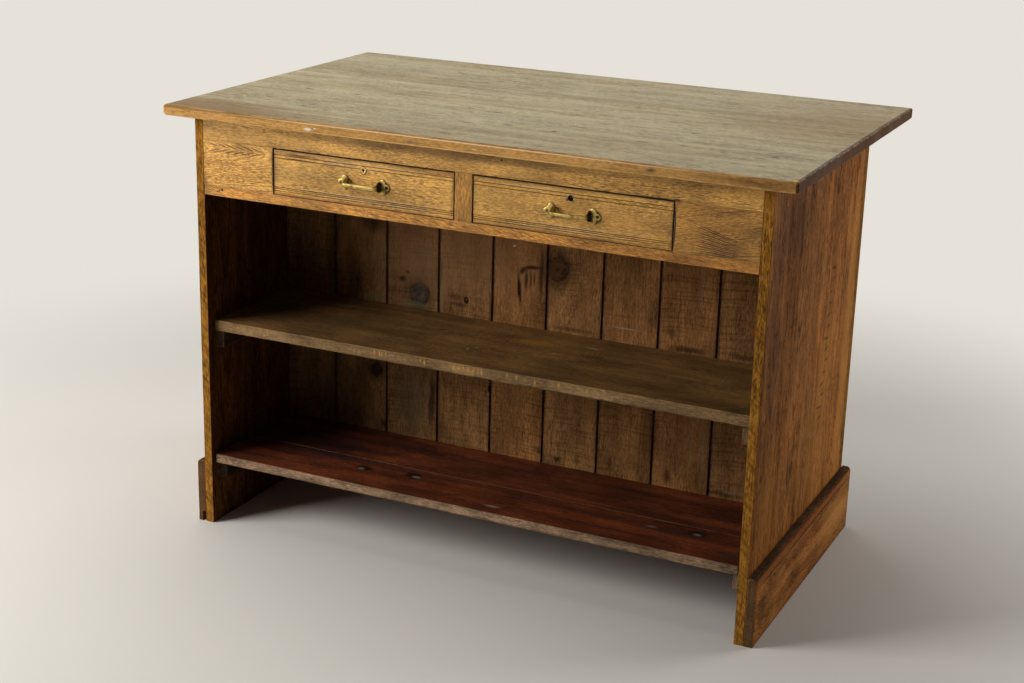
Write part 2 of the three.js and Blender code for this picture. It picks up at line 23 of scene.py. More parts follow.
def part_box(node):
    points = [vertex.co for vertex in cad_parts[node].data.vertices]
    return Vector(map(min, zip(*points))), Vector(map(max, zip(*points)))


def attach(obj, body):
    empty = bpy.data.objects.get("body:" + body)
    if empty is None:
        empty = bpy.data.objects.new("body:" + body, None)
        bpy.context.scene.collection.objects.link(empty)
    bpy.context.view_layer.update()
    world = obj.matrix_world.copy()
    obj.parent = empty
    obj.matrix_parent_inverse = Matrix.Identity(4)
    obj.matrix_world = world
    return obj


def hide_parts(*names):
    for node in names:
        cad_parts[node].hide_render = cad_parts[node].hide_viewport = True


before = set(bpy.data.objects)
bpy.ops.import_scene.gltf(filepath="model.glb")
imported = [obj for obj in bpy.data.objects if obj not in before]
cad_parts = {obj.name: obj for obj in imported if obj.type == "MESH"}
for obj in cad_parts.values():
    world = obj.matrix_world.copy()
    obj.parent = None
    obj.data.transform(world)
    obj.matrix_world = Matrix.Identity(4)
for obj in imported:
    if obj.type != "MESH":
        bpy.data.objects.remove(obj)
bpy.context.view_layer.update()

MM = 0.001
CARCASS = "carcass"
LOG = logging.getLogger("kitchen island")

Array = np.ndarray
Colour = tuple[float, float, float, float]
Pair = tuple[float, float]
Triple = tuple[float, float, float]


class Axis(Enum):
    """An axis of the frame, by its index."""

    X = 0
    Y = 1
    Z = 2


class Plane(Enum):
    """The two axes that places on a face are read along, as indices."""

    TOP = (0, 1)
    FRONT = (0, 2)
    SIDE = (1, 2)


class Slot(Enum):
    """The record's material slots."""

    TOP_OAK = "top_oak"
    HONEY_OAK = "honey_oak"
    BROWN_OAK = "brown_oak"
    SAWN_PINE = "sawn_pine"
    SHELF_PINE = "shelf_pine"
    RED_PINE = "red_pine"
    RAW_WOOD = "raw_wood"
    BRASS = "brass"
    STEEL = "steel"


@dataclass(frozen=True)
class Coat:
    """A finish as the pieces wear it: its material, and the record's slot for it."""

    material: Material
    slot: Slot


def colour_of(code: str) -> Colour:
    """A linear colour from a code of three hexadecimal pairs.

    Args:
        code: such as "#B0A078".

    Returns:
        Its red, green, blue and alpha.
    """
    pairs = (int(code[i:i + 2], 16) / 255 for i in (1, 3, 5))
    linear = (c / 12.92 if c <= 0.04045 else ((c + 0.055) / 1.055) ** 2.4 for c in pairs)
    return (*linear, 1.0)


def seed_of(name: str) -> int:
    """A number of its own for each name."""
    return sum((i + 1) * ord(letter) for i, letter in enumerate(name))


class Noise:
    """Smooth noise on a lattice, the same each run."""

    SIDE = 32

    def __init__(self, seed: int) -> None:
        """Fills the lattice from the seed."""
        self.table = np.random.default_rng(seed).random((self.SIDE,) * 3)

    def at(self, points: Array, frequency: Sequence[float]) -> Array:
        """Values from -1 to 1.

        Args:
            points: one place a row.
            frequency: lattice cells to a metre, along each axis.

        Returns:
            One value for each place.
        """
        scaled = points * np.asarray(frequency)
        cell = np.floor(scaled).astype(int)
        share = scaled - cell
        share = share * share * (3 - 2 * share)
        total = np.zeros(len(points))
        for corner in itertools.product((0, 1), repeat=3):
            weight = np.prod(np.where(corner, share, 1 - share), axis=1)
            i, j, k = ((cell + corner) % self.SIDE).T
            total += weight * self.table[i, j, k]
        return 2 * total - 1


# Meshes


def smooth_share(values: Array | float, low: float, high: float) -> Array:
    """A smooth step from 0 at low to 1 at high."""
    share = np.clip((values - low) / (high - low), 0, 1)
    return share * share * (3 - 2 * share)


def rounded(points: Array, low: Array, high: Array, radius: Array, axes: Sequence[int] = (0, 1, 2)) -> Array:
    """Moves the points of a box onto rounded arrises.

    Args:
        points: places on or in the box.
        low: the box's lowest corner.
        high: its highest corner.
        radius: the radius at each place.
        axes: the axes that the rounding works across.

    Returns:
        The moved places.
    """
    centre, half = (low + high) / 2, (high - low) / 2
    offset = points - centre
    core = offset.copy()
    for axis in axes:
        room = half[axis] - radius
        core[:, axis] = np.clip(offset[:, axis], -room, room)
    reach = offset - core
    longest = np.abs(reach).max(axis=1)
    length = np.linalg.norm(reach, axis=1)
    share = np.where(length > 0, longest / np.maximum(length, 1e-12), 1.0)
    return centre + core + reach * share[:, None]


def grid_lines(low: float, high: float, step: float, radius: float, extra: Sequence[float]) -> Array:
    """Places of grid lines along one axis, close together over the arrises.

    Args:
        low: one end.
        high: the other end.
        step: the spacing between the arrises.
        radius: the arris radius.
        extra: places that get a line of their own.

    Returns:
        The places in rising order.
    """
    bends = radius * (1 - np.tan(np.radians([45, 30, 15, 0])))
    flat = radius + min(1.5 * MM, radius)
    count = max(1, round((high - low - 2 * flat) / step)) + 1
    inner = np.linspace(low + flat, high - flat, count)
    lines = np.concatenate([low + bends, high - bends, inner, [p for p in extra if low < p < high]])
    return np.unique(np.round(lines, 7))


def shell(lines: Sequence[Array]) -> tuple[Array, Array]:
    """The surface of a box on a grid.

    Args:
        lines: the places of the grid lines along X, Y and Z.

    Returns:
        Its vertices, and its quads facing out.
    """
    counts = [len(places) for places in lines]
    outside = np.zeros(counts, bool)
    for axis, end in itertools.product(range(3), (0, -1)):
        np.moveaxis(outside, axis, 0)[end] = True
    ids = np.full(counts, -1)
    ids[outside] = np.arange(outside.sum())
    index = np.argwhere(outside)
    points = np.stack([lines[k][index[:, k]] for k in range(3)], axis=1)
    quads = []
    for axis, end in itertools.product(range(3), (0, -1)):
        sheet = np.take(ids, end, axis=axis)
        corners = (sheet[:-1, :-1], sheet[1:, :-1], sheet[1:, 1:], sheet[:-1, 1:])
        faces = np.stack(corners, axis=-1).reshape(-1, 4)
        quads.append(faces[:, ::-1] if (end == 0) != (axis == 1) else faces)
    return points, np.concatenate(quads)


def mesh_of(name: str, points: Array, faces: Sequence[Sequence[int]]) -> Mesh:
    """A mesh from places and faces.

    Args:
        name: its name.
        points: the vertices' places, one a row.
        faces: the vertices of each face, by row.

    Returns:
        The mesh.
    """
    mesh = bpy.data.meshes.new(name)
    mesh.from_pydata(points.tolist(), [], [list(map(int, face)) for face in faces])
    return mesh


def loft(name: str, levels: Sequence[Array], is_ring: bool = False) -> Mesh:
    """A skin over loops of points.

    Args:
        name: the mesh's name.
        levels: loops with as many points each.
        is_ring: whether the last loop joins the first; otherwise both ends are closed.

    Returns:
        The mesh.
    """
    count = len(levels[0])
    faces = []
    for i in range(len(levels) if is_ring else len(levels) - 1):
        near, far = i * count, (i + 1) % len(levels) * count
        faces += [(near + k, near + (k + 1) % count, far + (k + 1) % count, far + k) for k in range(count)]
    if not is_ring:
        total = len(levels) * count
        faces += [tuple(range(count)), tuple(range(total - 1, total - count - 1, -1))]
    return mesh_of(name, np.concatenate(levels), faces)


def shaded(mesh: Mesh, sharp: float = 35.0) -> Mesh:
    """Shades a mesh smooth, apart from the edges that turn by more than sharp degrees.

    Args:
        mesh: the mesh.
        sharp: that angle.

    Returns:
        The same mesh.
    """
    mesh.shade_smooth()
    mesh.set_sharp_from_angle(angle=math.radians(sharp))
    return mesh


def object_of(name: str, mesh: Mesh) -> Object:
    """An object at the origin that holds the mesh.

    Args:
        name: its name.
        mesh: the mesh.

    Returns:
        The object.
    """
    made = bpy.data.objects.new(name, mesh)
    bpy.context.scene.collection.objects.link(made)
    return made


def write_attributes(mesh: Mesh, **values: Array | float) -> None:
    """Stores a number or a vector for each vertex, under each name; one number stands for all of them.

    Args:
        mesh: the mesh.
        values: the numbers or vectors, by attribute name.
    """
    for name, each in values.items():
        each = np.broadcast_to(each, len(mesh.vertices)) if np.ndim(each) == 0 else each
        is_vector = each.ndim == 2
        attribute = mesh.attributes.new(name, "FLOAT_VECTOR" if is_vector else "FLOAT", "POINT")
        attribute.data.foreach_set("vector" if is_vector else "value", each.astype(np.float32).ravel())


def places_of(mesh: Mesh) -> Array:
    """The vertices' places, one a row.

    Args:
        mesh: the mesh.

    Returns:
        An array of three columns.
    """
    places = np.empty(3 * len(mesh.vertices))
    mesh.vertices.foreach_get("co", places)
    return places.reshape(-1, 3)


def closed(mesh: Mesh) -> Mesh:
    """Merges doubles and turns the faces out.

    Args:
        mesh: a mesh with doubled vertices.

    Returns:
        The same mesh.
    """
    shape = bmesh.new()
    shape.from_mesh(mesh)
    bmesh.ops.remove_doubles(shape, verts=shape.verts, dist=1e-6)
    bmesh.ops.recalc_face_normals(shape, faces=shape.faces)
    shape.to_mesh(mesh)
    shape.free()
    return mesh


def prism(name: str, outline: Sequence[Pair], axis: Axis, low: float, high: float) -> Mesh:
    """A straight bar with the given section.

    Args:
        name: the mesh's name.
        outline: the section's corners, read along the two other axes.
        axis: the bar's axis.
        low: where it starts.
        high: where it ends.

    Returns:
        The closed mesh.
    """
    levels = [np.array([np.insert(corner, axis.value, end) for corner in outline]) for end in (low, high)]
    return closed(loft(name, levels))


def oval(centre: Pair, width: float, height: float, steps: int = 48) -> list[Pair]:
    """The corners of an ellipse."""
    turns = [2 * math.pi * i / steps for i in range(steps)]
    return [(centre[0] + width / 2 * math.cos(t), centre[1] + height / 2 * math.sin(t)) for t in turns]


def oblong(low: Pair, high: Pair) -> list[Pair]:
    """The corners of a rectangle."""
    return [low, (high[0], low[1]), high, (low[0], high[1])]


def carved(mesh: Mesh, cutters: Sequence[Mesh]) -> Mesh:
    """The mesh with closed meshes, the cutters, cut out of it.

    Args:
        mesh: what is cut.
        cutters: what is taken away.

    Returns:
        A new mesh.
    """
    base = object_of(mesh.name + "_uncut", mesh)
    tools = [object_of(f"{mesh.name}_cutter_{i}", cutter) for i, cutter in enumerate(cutters)]
    for tool in tools:
        modifier = base.modifiers.new("Cut", "BOOLEAN")
        modifier.operation, modifier.solver, modifier.object = "DIFFERENCE", "EXACT", tool
    return plain_mesh(base, mesh.name, tools)


def plain_mesh(base: Object, name: str, helpers: Sequence[Object] = ()) -> Mesh:
    """The mesh that an object's modifiers make, with the object and its helpers removed.

    Args:
        base: the object.
        name: the new mesh's name.
        helpers: objects that the modifiers use.

    Returns:
        The new mesh.
    """
    bpy.context.view_layer.update()
    graph = bpy.context.evaluated_depsgraph_get()
    made = bpy.data.meshes.new_from_object(base.evaluated_get(graph), depsgraph=graph)
    for spare in (base, *helpers):
        bpy.data.objects.remove(spare)
    made.name = name
    return made


def finished(name: str, mesh: Mesh, coat: Coat, body: str, *nodes: str) -> Object:
    """Makes a piece from its mesh and gives it its material and body.

    Args:
        name: the piece's name.
        mesh: its mesh, at its place in the frame.
        coat: its finish.
        body: the body that it rides on.
        nodes: the CAD nodes that it stands for.

    Returns:
        The piece.
    """
    made = object_of(name, mesh)
    if coat.material.name not in mesh.materials:
        mesh.materials.append(coat.material)
    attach(made, body)
    if nodes:
        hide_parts(*nodes)
    return made


# Boards


@dataclass
class Grain:
    """How the wood's fibres lie in a board, read from the heart of the tree."""

    along: Axis  # of the fibres
    face: Axis  # that looks out of the board's main face
    outward: int = 1  # -1 where that face looks down its axis
    heart: Triple = (0.0, 0.0, 0.05)  # the board's middle, seen from the heart
    turn: float = 0.0  # the fibres' lean in the face, in degrees
    trunk: int = 1  # -1 where the tree's top lies down the axis
    slope: float = 0.0  # how fast the board climbs through the rings

    @staticmethod
    def drawn(
        node: str, along: Axis, face: Axis, outward: int = 1, across: float = 30, depth: float = 50
    ) -> "Grain":
        """A grain at a place of its own in the tree.

        Args:
            node: the board's name, which picks the place.
            along: the axis of the fibres.
            face: the axis out of its main face.
            outward: which way that face looks.
            across: how far the board's middle may lie from the heart, sideways, in millimetres.
            depth: how far in front of the heart it lies, in millimetres.

        Returns:
            The grain.
        """
        draw = np.random.default_rng(seed_of(node))
        heart = (draw.uniform(0, 3), draw.uniform(-across, across) * MM, depth * draw.uniform(0.7, 1.3) * MM)
        return Grain(along, face, outward, heart, draw.uniform(-0.8, 0.8))

    def places(self, points: Array, centre: Array) -> Array:
        """Places on the board along the trunk, across it and out of the face.

        Args:
            points: places in the frame.
            centre: the board's middle there.

        Returns:
            A row for each place.
        """
        across = 3 - self.along.value - self.face.value
        offset = points - centre
        angle = math.radians(self.turn)
        u, v = self.trunk * offset[:, self.along.value], offset[:, across]
        w = self.outward * offset[:, self.face.value] - self.slope * u
        leaned = (u * math.cos(angle) - v * math.sin(angle), u * math.sin(angle) + v * math.cos(angle), w)
        return np.stack(leaned, axis=1) + np.asarray(self.heart)


@dataclass
class Dent:
    """A place where an arris is worn further: its middle and reach, and the radius it adds, in metres."""

    at: Triple
    reach: Triple
    depth: float

    def added(self, points: Array) -> Array:
        """What it adds to the radius at each place."""
        offset = (points - np.asarray(self.at)) / np.asarray(self.reach)
        return self.depth * np.exp(-(offset ** 2).sum(axis=1))


@dataclass
class Board:
    """One sawn board with rounded, unevenly worn arrises. It stands for a CAD node and rides on a body."""

    node: str
    grain: Grain
    arris: float = 1.2 * MM  # the arrises' mean radius
    wear: float = 0.5  # how much that radius varies
    step: float = 14 * MM  # the grid's spacing
    tone: float = 0.0  # how light it is among its neighbours
    warmth: float = 0.0  # how much redder it is
    figure: float = 1.0  # how strong its rings are
    dents: tuple[Dent, ...] = ()
    lines: dict[int, list[float]] = field(default_factory=dict)  # grid lines of its own, by axis index
    cutters: tuple[Mesh, ...] = ()
    body: str = CARCASS

    def corners(self) -> tuple[Array, Array]:
        """The node's lowest and highest corners."""
        low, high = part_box(self.node)
        return np.array(low), np.array(high)

    def worn_box(self) -> tuple[Array, Array]:
        """The corners of the box whose arrises hands reach."""
        return self.corners()

    def mesh(self) -> Mesh:
        """The board's mesh, with its grain, arris and tone as attributes.

        Returns:
            The mesh, with its cutters cut out.
        """
        low, high = self.corners()
        lines = []
        for k in range(3):
            step = self.step if k == self.grain.along.value else self.step / 2
            extra = self.lines.get(k, []) + self.dent_lines(k)
            lines.append(grid_lines(low[k], high[k], step, self.arris, extra))
        flat, quads = shell(lines)
        mesh = mesh_of(self.node, self.shaped(flat), quads)
        if self.cutters:
            mesh = carved(mesh, self.cutters)
        self.dress(mesh)
        return shaded(mesh)

    def shaped(self, flat: Array) -> Array:
        """Places on the plain box, moved onto the worn arrises."""
        low, high = self.corners()
        return rounded(flat, low, high, self.radius(flat, self.arris, (high - low).min()))

    def radius(self, points: Array, mean: float, thickness: float) -> Array:
        """The arris radius at each place, uneven and larger at the dents.

        Args:
            points: the places.
            mean: the mean radius.
            thickness: the board's thickness.

        Returns:
            A radius for each place.
        """
        uneven = Noise(seed_of(self.node)).at(points, (40, 40, 40))
        radius = mean * (1 + self.wear * uneven)
        for dent in self.dents:
            radius = radius + dent.added(points)
        return np.clip(radius, 0.1 * MM, 0.45 * thickness)

    def dent_lines(self, axis: int) -> list[float]:
        """Grid lines through the dents, along one axis."""
        shares = (-1.2, -0.6, 0.0, 0.6, 1.2)
        return [dent.at[axis] + share * dent.reach[axis] for dent in self.dents for share in shares]

    def dress(self, mesh: Mesh) -> None:
        """Stores what the finishes read: the grain's own place, and the arris, tone and side.

        Args:
            mesh: the board's mesh.
        """
        places = places_of(mesh)
        low, high = self.worn_box()
        from_faces = np.clip(np.minimum(places - low, high - places), 0, None)
        arris = np.sort(from_faces, axis=1)[:, 1]
        low, high = self.corners()
        face = self.grain.face.value
        side = self.grain.outward * (2 * (places - low)[:, face] / (high - low)[face] - 1)
        board = np.stack([arris, np.full(len(places), self.tone), side], axis=1)
        grain = self.grain.places(places, (low + high) / 2)
        write_attributes(mesh, grain=grain, board=board, warmth=self.warmth, figure=self.figure)

    def build(self, coat: Coat) -> Object:
        """The finished board, riding on its body."""
        return finished(self.node + "_board", self.mesh(), coat, self.body, self.node)


@dataclass
class ShapedBar(Board):
    """A bar whose section isn't a plain rectangle: the CAD piece's own shape, with softened arrises."""

    def mesh(self) -> Mesh:
        """The CAD piece's mesh, merged and bevelled, with its grain as an attribute.

        Returns:
            The mesh.
        """
        shape = bmesh.new()
        shape.from_mesh(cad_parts[self.node].data)
        bmesh.ops.remove_doubles(shape, verts=shape.verts, dist=1e-6)
        bmesh.ops.dissolve_limit(shape, angle_limit=math.radians(1), verts=shape.verts, edges=shape.edges)
        sharp = [edge for edge in shape.edges if edge.calc_face_angle(0) > math.radians(30)]
        bmesh.ops.bevel(shape, geom=sharp, offset=self.arris, segments=2, affect="EDGES", profile=0.5)
        mesh = bpy.data.meshes.new(self.node)
        shape.to_mesh(mesh)
        shape.free()
        self.dress(mesh)
        return shaded(mesh)

    def dress(self, mesh: Mesh) -> None:
        """Stores the grain's own place, with every arris far away.

        Args:
            mesh: the board's mesh.
        """
        places = places_of(mesh)
        low, high = self.corners()
        plain = np.tile([1.0, self.tone, 1.0], (len(places), 1))
        write_attributes(mesh, grain=self.grain.places(places, (low + high) / 2), board=plain, figure=1.0)


# Shader graphs


class Graph:
    """A node tree, with short calls for the nodes that the finishes use.

    A value that goes into a node is a number, a vector, a colour or another node's socket.
    """

    def __init__(self, tree: NodeTree) -> None:
        """Nodes go into this tree."""
        self.tree = tree

    def node(self, kind: str, inputs: dict | None = None, **settings: object) -> Node:
        """Adds a node.

        Args:
            kind: the node's type.
            inputs: values or sockets, by input name or index.
            settings: the node's own properties.

        Returns:
            The new node.
        """
        made = self.tree.nodes.new(kind)
        for name, value in settings.items():
            setattr(made, name, value)
        for key, value in (inputs or {}).items():
            self.feed(made.inputs[key], value)
        return made

    def feed(self, socket: Socket, value: object) -> None:
        """Links a socket to an input, or sets the input's value.

        Args:
            socket: the input.
            value: what goes into it.
        """
        if isinstance(value, Socket):
            self.tree.links.new(value, socket)
        else:
            socket.default_value = value

    def math(self, operation: str, *values: object, clamp: bool = False) -> Socket:
        """The result of a Math node."""
        inputs = dict(enumerate(values))
        return self.node("ShaderNodeMath", inputs, operation=operation, use_clamp=clamp).outputs[0]

    def times(self, first: object, second: object, clamp: bool = False) -> Socket:
        """One number times another."""
        return self.math("MULTIPLY", first, second, clamp=clamp)

    def line(self, value: object, slope: object, start: object, clamp: bool = False) -> Socket:
        """A number times a slope, plus a start."""
        return self.math("MULTIPLY_ADD", value, slope, start, clamp=clamp)

    def vector(self, operation: str, *values: object) -> Socket:
        """The result of a Vector Math node."""
        made = self.node("ShaderNodeVectorMath", dict(enumerate(values)), operation=operation)
        return made.outputs["Value" if operation in ("LENGTH", "DOT_PRODUCT") else "Vector"]

    def scaled(self, value: object, factor: object) -> Socket:
        """A vector times a number."""
        made = self.node("ShaderNodeVectorMath", {0: value, "Scale": factor}, operation="SCALE")
        return made.outputs["Vector"]

    def parts(self, value: object) -> tuple[Socket, Socket, Socket]:
        """A vector's three parts."""
        return tuple(self.node("ShaderNodeSeparateXYZ", {0: value}).outputs)

    def joined(self, x: object = 0.0, y: object = 0.0, z: object = 0.0) -> Socket:
        """A vector from three parts."""
        return self.node("ShaderNodeCombineXYZ", {0: x, 1: y, 2: z}).outputs[0]

    def noise(self, place: object, frequency: Triple, detail: float = 2.0, output: str = "Fac") -> Socket:
        """Noise with its own frequency, in cells to a metre, along each axis."""
        inputs = {"Vector": self.vector("MULTIPLY", place, frequency), "Scale": 1.0, "Detail": detail}
        return self.node("ShaderNodeTexNoise", inputs).outputs[output]

    def drift(self, place: object, frequency: Triple, detail: float = 2.0) -> Socket:
        """A smooth random shift of up to half a unit each way."""
        return self.vector("SUBTRACT", self.noise(place, frequency, detail, "Color"), (0.5, 0.5, 0.5))

    def attribute(self, name: str, output: str = "Fac") -> Socket:
        """What the piece stores at each vertex under this name."""
        return self.node("ShaderNodeAttribute", attribute_name=name).outputs[output]

    def own_place(self) -> Socket:
        """The place on the piece, in Object coordinates."""
        return self.node("ShaderNodeTexCoord").outputs["Object"]

    def random(self, number: object) -> Socket:
        """A random value for each whole number."""
        return self.node("ShaderNodeTexWhiteNoise", {"W": number}, noise_dimensions="1D").outputs["Value"]

    def span(
        self, value: object, low: object, high: object, start: object = 0.0, end: object = 1.0
    ) -> Socket:
        """A smooth step from start at low to end at high."""
        inputs = {"Value": value, "From Min": low, "From Max": high, "To Min": start, "To Max": end}
        return self.node("ShaderNodeMapRange", inputs, interpolation_type="SMOOTHSTEP").outputs["Result"]

    def mix(self, share: object, first: object, second: object) -> Socket:
        """Two colours mixed; a second colour may be given by its code.

        Args:
            share: how much of the second colour there is.
            first: the first colour.
            second: the second colour, or its code.

        Returns:
            The mixed colour.
        """
        second = colour_of(second) if isinstance(second, str) else second
        inputs = {"Factor": share, 6: first, 7: second}
        return self.node("ShaderNodeMix", inputs, data_type="RGBA", clamp_result=False).outputs[2]

    def group(self, tree: NodeTree, inputs: dict) -> Node:
        """Places a node group.

        Args:
            tree: the group.
            inputs: values or sockets, by input name.

        Returns:
            Its node.
        """
        made = self.node("ShaderNodeGroup", node_tree=tree)
        for name, value in inputs.items():
            self.feed(made.inputs[name], value)
        return made


ORIGIN: Triple = (0.0, 0.0, 0.0)
Outputs = dict[str, Socket]


def effect(name: str, inputs: dict[str, float | Triple], fill: Callable[..., Outputs]) -> NodeTree:
    """A shader node group.

    Args:
        name: the group's name.
        inputs: each input's name and value, a number or a vector.
        fill: makes the nodes from a graph and the inputs, and gives each output by its name.

    Returns:
        The group.
    """
    tree = bpy.data.node_groups.new(name, "ShaderNodeTree")
    for key, value in inputs.items():
        kind = "NodeSocketFloat" if isinstance(value, float) else "NodeSocketVector"
        tree.interface.new_socket(key, in_out="INPUT", socket_type=kind).default_value = value
    g = Graph(tree)
    given = g.node("NodeGroupInput").outputs
    results = fill(g, *(given[key] for key in inputs))
    for key in results:
        tree.interface.new_socket(key, in_out="OUTPUT", socket_type="NodeSocketFloat")
    g.node("NodeGroupOutput", results)
    return tree


def wood_grain(
    g: Graph, at: Socket, spacing: Socket, taper: Socket, waviness: Socket, pore: Socket
) -> Outputs:
    """Growth rings, fibres, streaks, pores and clouds of a board, read from its grain's own place.

    Args:
        g: the graph that the nodes go into.
        at: the place in the grain.
        spacing: the rings' spacing.
        taper: how fast the trunk narrows.
        waviness: how far the grain wanders.
        pore: the width of a crowd of pores.

    Returns:
        A share for each of the five.
    """
    slow = g.drift(at, (2.2, 9.0, 9.0))
    quick = g.drift(at, (22.0, 90.0, 90.0))
    place = g.vector("ADD", at, g.scaled(slow, waviness))
    place = g.vector("ADD", place, g.scaled(quick, g.times(waviness, 0.12)))
    u, v, w = g.parts(place)
    depth = g.math("SUBTRACT", w, g.times(u, taper))
    radius = g.math("SQRT", g.math("ADD", g.times(v, v), g.times(depth, depth)))
    ring = g.math("DIVIDE", radius, spacing)
    ring = g.line(g.noise(g.joined(ring), (0.35, 1.0, 1.0), 1.0), 1.6, ring)
    share = g.math("FRACT", ring)
    late = g.times(g.span(share, 0.3, 0.85), g.span(share, 0.9, 1.0, 1.0, 0.0))
    strength = g.span(g.random(g.math("FLOOR", ring)), 0.0, 1.0, 0.35, 1.0)
    broken = g.span(g.noise(place, (26.0, 280.0, 280.0)), 0.36, 0.6, 0.35, 1.0)
    cells = g.math("DIVIDE", 1.0, pore)
    fine = g.vector("MULTIPLY", place, g.joined(g.times(cells, 0.15), cells, cells))
    coarse = g.scaled(g.vector("ADD", fine, (7.0, 3.0, 5.0)), 0.56)
    short = g.span(g.noise(fine, (1.0, 1.0, 1.0), 1.0), 0.52, 0.62)
    long = g.span(g.noise(coarse, (0.9, 1.0, 1.0), 1.0), 0.54, 0.62)
    crowds = g.span(g.noise(place, (7.0, 42.0, 42.0)), 0.38, 0.6, 0.3, 1.0)
    early = g.span(share, 0.15, 0.75, 1.0, 0.3)
    dashes = g.math("MAXIMUM", g.times(short, early), g.times(long, 0.85))
    return {
        "Rings": g.times(g.times(late, strength), broken),
        "Fibres": g.noise(place, (120.0, 520.0, 520.0)),
        "Streaks": g.noise(place, (1.3, 24.0, 24.0), 3.0),
        "Pores": g.times(dashes, crowds),
        "Clouds": g.noise(place, (8.0, 20.0, 20.0), 4.0),
    }


def rubbed_arris(g: Graph, arris: Socket, at: Socket, width: Socket) -> Outputs:
    """Where hands have rubbed an arris, from the distance to it, and the dirt beside that.

    Args:
        g: the graph that the nodes go into.
        arris: the distance to the arris.
        at: the place in the grain.
        width: how far the arris is rubbed.

    Returns:
        A share for each of the two.
    """
    patches = g.noise(at, (22.0, 90.0, 90.0), 3.0)
    reach = g.times(width, g.span(patches, 0.32, 0.7, 0.15, 1.6))
    share = g.math("DIVIDE", arris, reach)
    far = g.math("DIVIDE", arris, g.times(reach, 4.0))
    grime = g.times(g.span(far, 0.2, 1.0, 1.0, 0.0), g.span(share, 0.8, 1.3))
    return {"Rubbed": g.span(share, 0.35, 1.0, 1.0, 0.0), "Grime": grime}


def saw_marks(g: Graph, at: Socket, frequency: Socket) -> Outputs:
    """Arcs that a circular saw leaves across the grain.

    Args:
        g: the graph that the nodes go into.
        at: the place in the grain.
        frequency: arcs to a metre.

    Returns:
        How strong the arcs are.
    """
    u, v, _ = g.parts(at)
    arc = g.math("ADD", u, g.times(g.times(v, v), 0.9))
    lines = g.noise(g.joined(g.times(arc, frequency), v, 0.0), (1.0, 9.0, 1.0))
    patches = g.span(g.noise(at, (5.0, 9.0, 9.0)), 0.38, 0.66, 0.1, 1.0)
    return {"Marks": g.times(g.span(lines, 0.48, 0.62), patches)}


def soft_mark(g: Graph, at: Socket, centre: Socket, size: Socket, turn: Socket, edge: Socket) -> Outputs:
    """One soft-edged spot, streak or line on a face.

    Args:
        g: the graph that the nodes go into.
        at: the place in the face's plane.
        centre: the mark's middle.
        size: half its length, width and depth.
        turn: how far it is turned, in radians.
        edge: the share of it that is even.

    Returns:
        How strong the mark is.
    """
    inputs = {"Vector": g.vector("SUBTRACT", at, centre), "Angle": turn}
    turned = g.node("ShaderNodeVectorRotate", inputs, rotation_type="Z_AXIS").outputs[0]
    distance = g.vector("LENGTH", g.vector("DIVIDE", turned, size))
    return {"Mask": g.span(distance, edge, 1.0, 1.0, 0.0)}


def knot_figure(g: Graph, at: Socket, centre: Socket, radius: Socket) -> Outputs:
    """A knot: rings round its middle, a dark rim, a halo, and how far it pushes the grain aside.

    Args:
        g: the graph that the nodes go into.
        at: the place in the face's plane.
        centre: the knot's middle.
        radius: its radius.

    Returns:
        Shares for its parts, and the push in metres.
    """
    offset = g.vector("SUBTRACT", at, centre)
    wobble = g.drift(offset, (26.0, 26.0, 1.0), 1.0)
    uneven = g.vector("ADD", offset, g.scaled(wobble, g.times(radius, 0.6)))
    flat = g.vector("MULTIPLY", uneven, (1.08, 0.94, 0.0))
    distance = g.math("DIVIDE", g.vector("LENGTH", flat), radius)
    broken = g.span(g.noise(offset, (120.0, 120.0, 1.0), 3.0), 0.34, 0.6, 0.25, 1.0)
    ring = g.math("PINGPONG", g.line(distance, 4.0, g.times(broken, 0.7)), 1.0)
    rim = g.math("ABSOLUTE", g.math("SUBTRACT", distance, 0.9))
    across, along, _ = g.parts(offset)
    inside = g.times(radius, radius)
    square = g.math("ADD", g.times(across, across), g.times(along, g.times(along, 0.35)))
    share = g.math("DIVIDE", inside, g.math("ADD", square, g.times(inside, 0.6)))
    return {
        "Core": g.span(distance, 0.7, 1.05, 1.0, 0.0),
        "Rings": g.times(g.span(ring, 0.1, 0.95, 0.15, 0.8), broken),
        "Rim": g.times(g.span(rim, 0.02, 0.24, 1.0, 0.0), broken),
        "Halo": g.span(distance, 0.9, 2.3, 1.0, 0.0),
        "Aside": g.times(across, g.times(share, -0.9)),
    }


def metal_patina(g: Graph, at: Socket, frequency: Socket) -> Outputs:
    """Tarnish on metal: soft clouds and small specks.

    Args:
        g: the graph that the nodes go into.
        at: the place on the piece.
        frequency: clouds to a metre.

    Returns:
        A share for each of the two.
    """
    place = g.scaled(at, frequency)
    clouds = g.span(g.noise(place, (1.0, 1.0, 1.0), 4.0), 0.35, 0.68)
    return {"Clouds": clouds, "Specks": g.span(g.noise(place, (14.0, 14.0, 14.0), 1.0), 0.62, 0.72)}


class Effects:
    """The shared node groups."""

    def __init__(self) -> None:
        """Builds each group once."""
        spot = {"At": ORIGIN, "Centre": ORIGIN}
        grain = {"Place": ORIGIN, "Ring spacing": 0.004, "Taper": 0.04, "Waviness": 0.02, "Pore size": 0.0012}
        mark = {**spot, "Size": (0.01, 0.01, 1.0), "Turn": 0.0, "Edge": 0.5}
        self.grain = effect("Wood grain", grain, wood_grain)
        self.arris = effect("Rubbed arris", {"Arris": 0.01, "Place": ORIGIN, "Width": 0.003}, rubbed_arris)
        self.saw = effect("Saw marks", {"Place": ORIGIN, "Frequency": 240.0}, saw_marks)
        self.mark = effect("Mark", mark, soft_mark)
        self.knot = effect("Knot", {**spot, "Radius": 0.02}, knot_figure)
        self.patina = effect("Patina", {"Place": ORIGIN, "Cloud frequency": 60.0}, metal_patina)


# Finishes


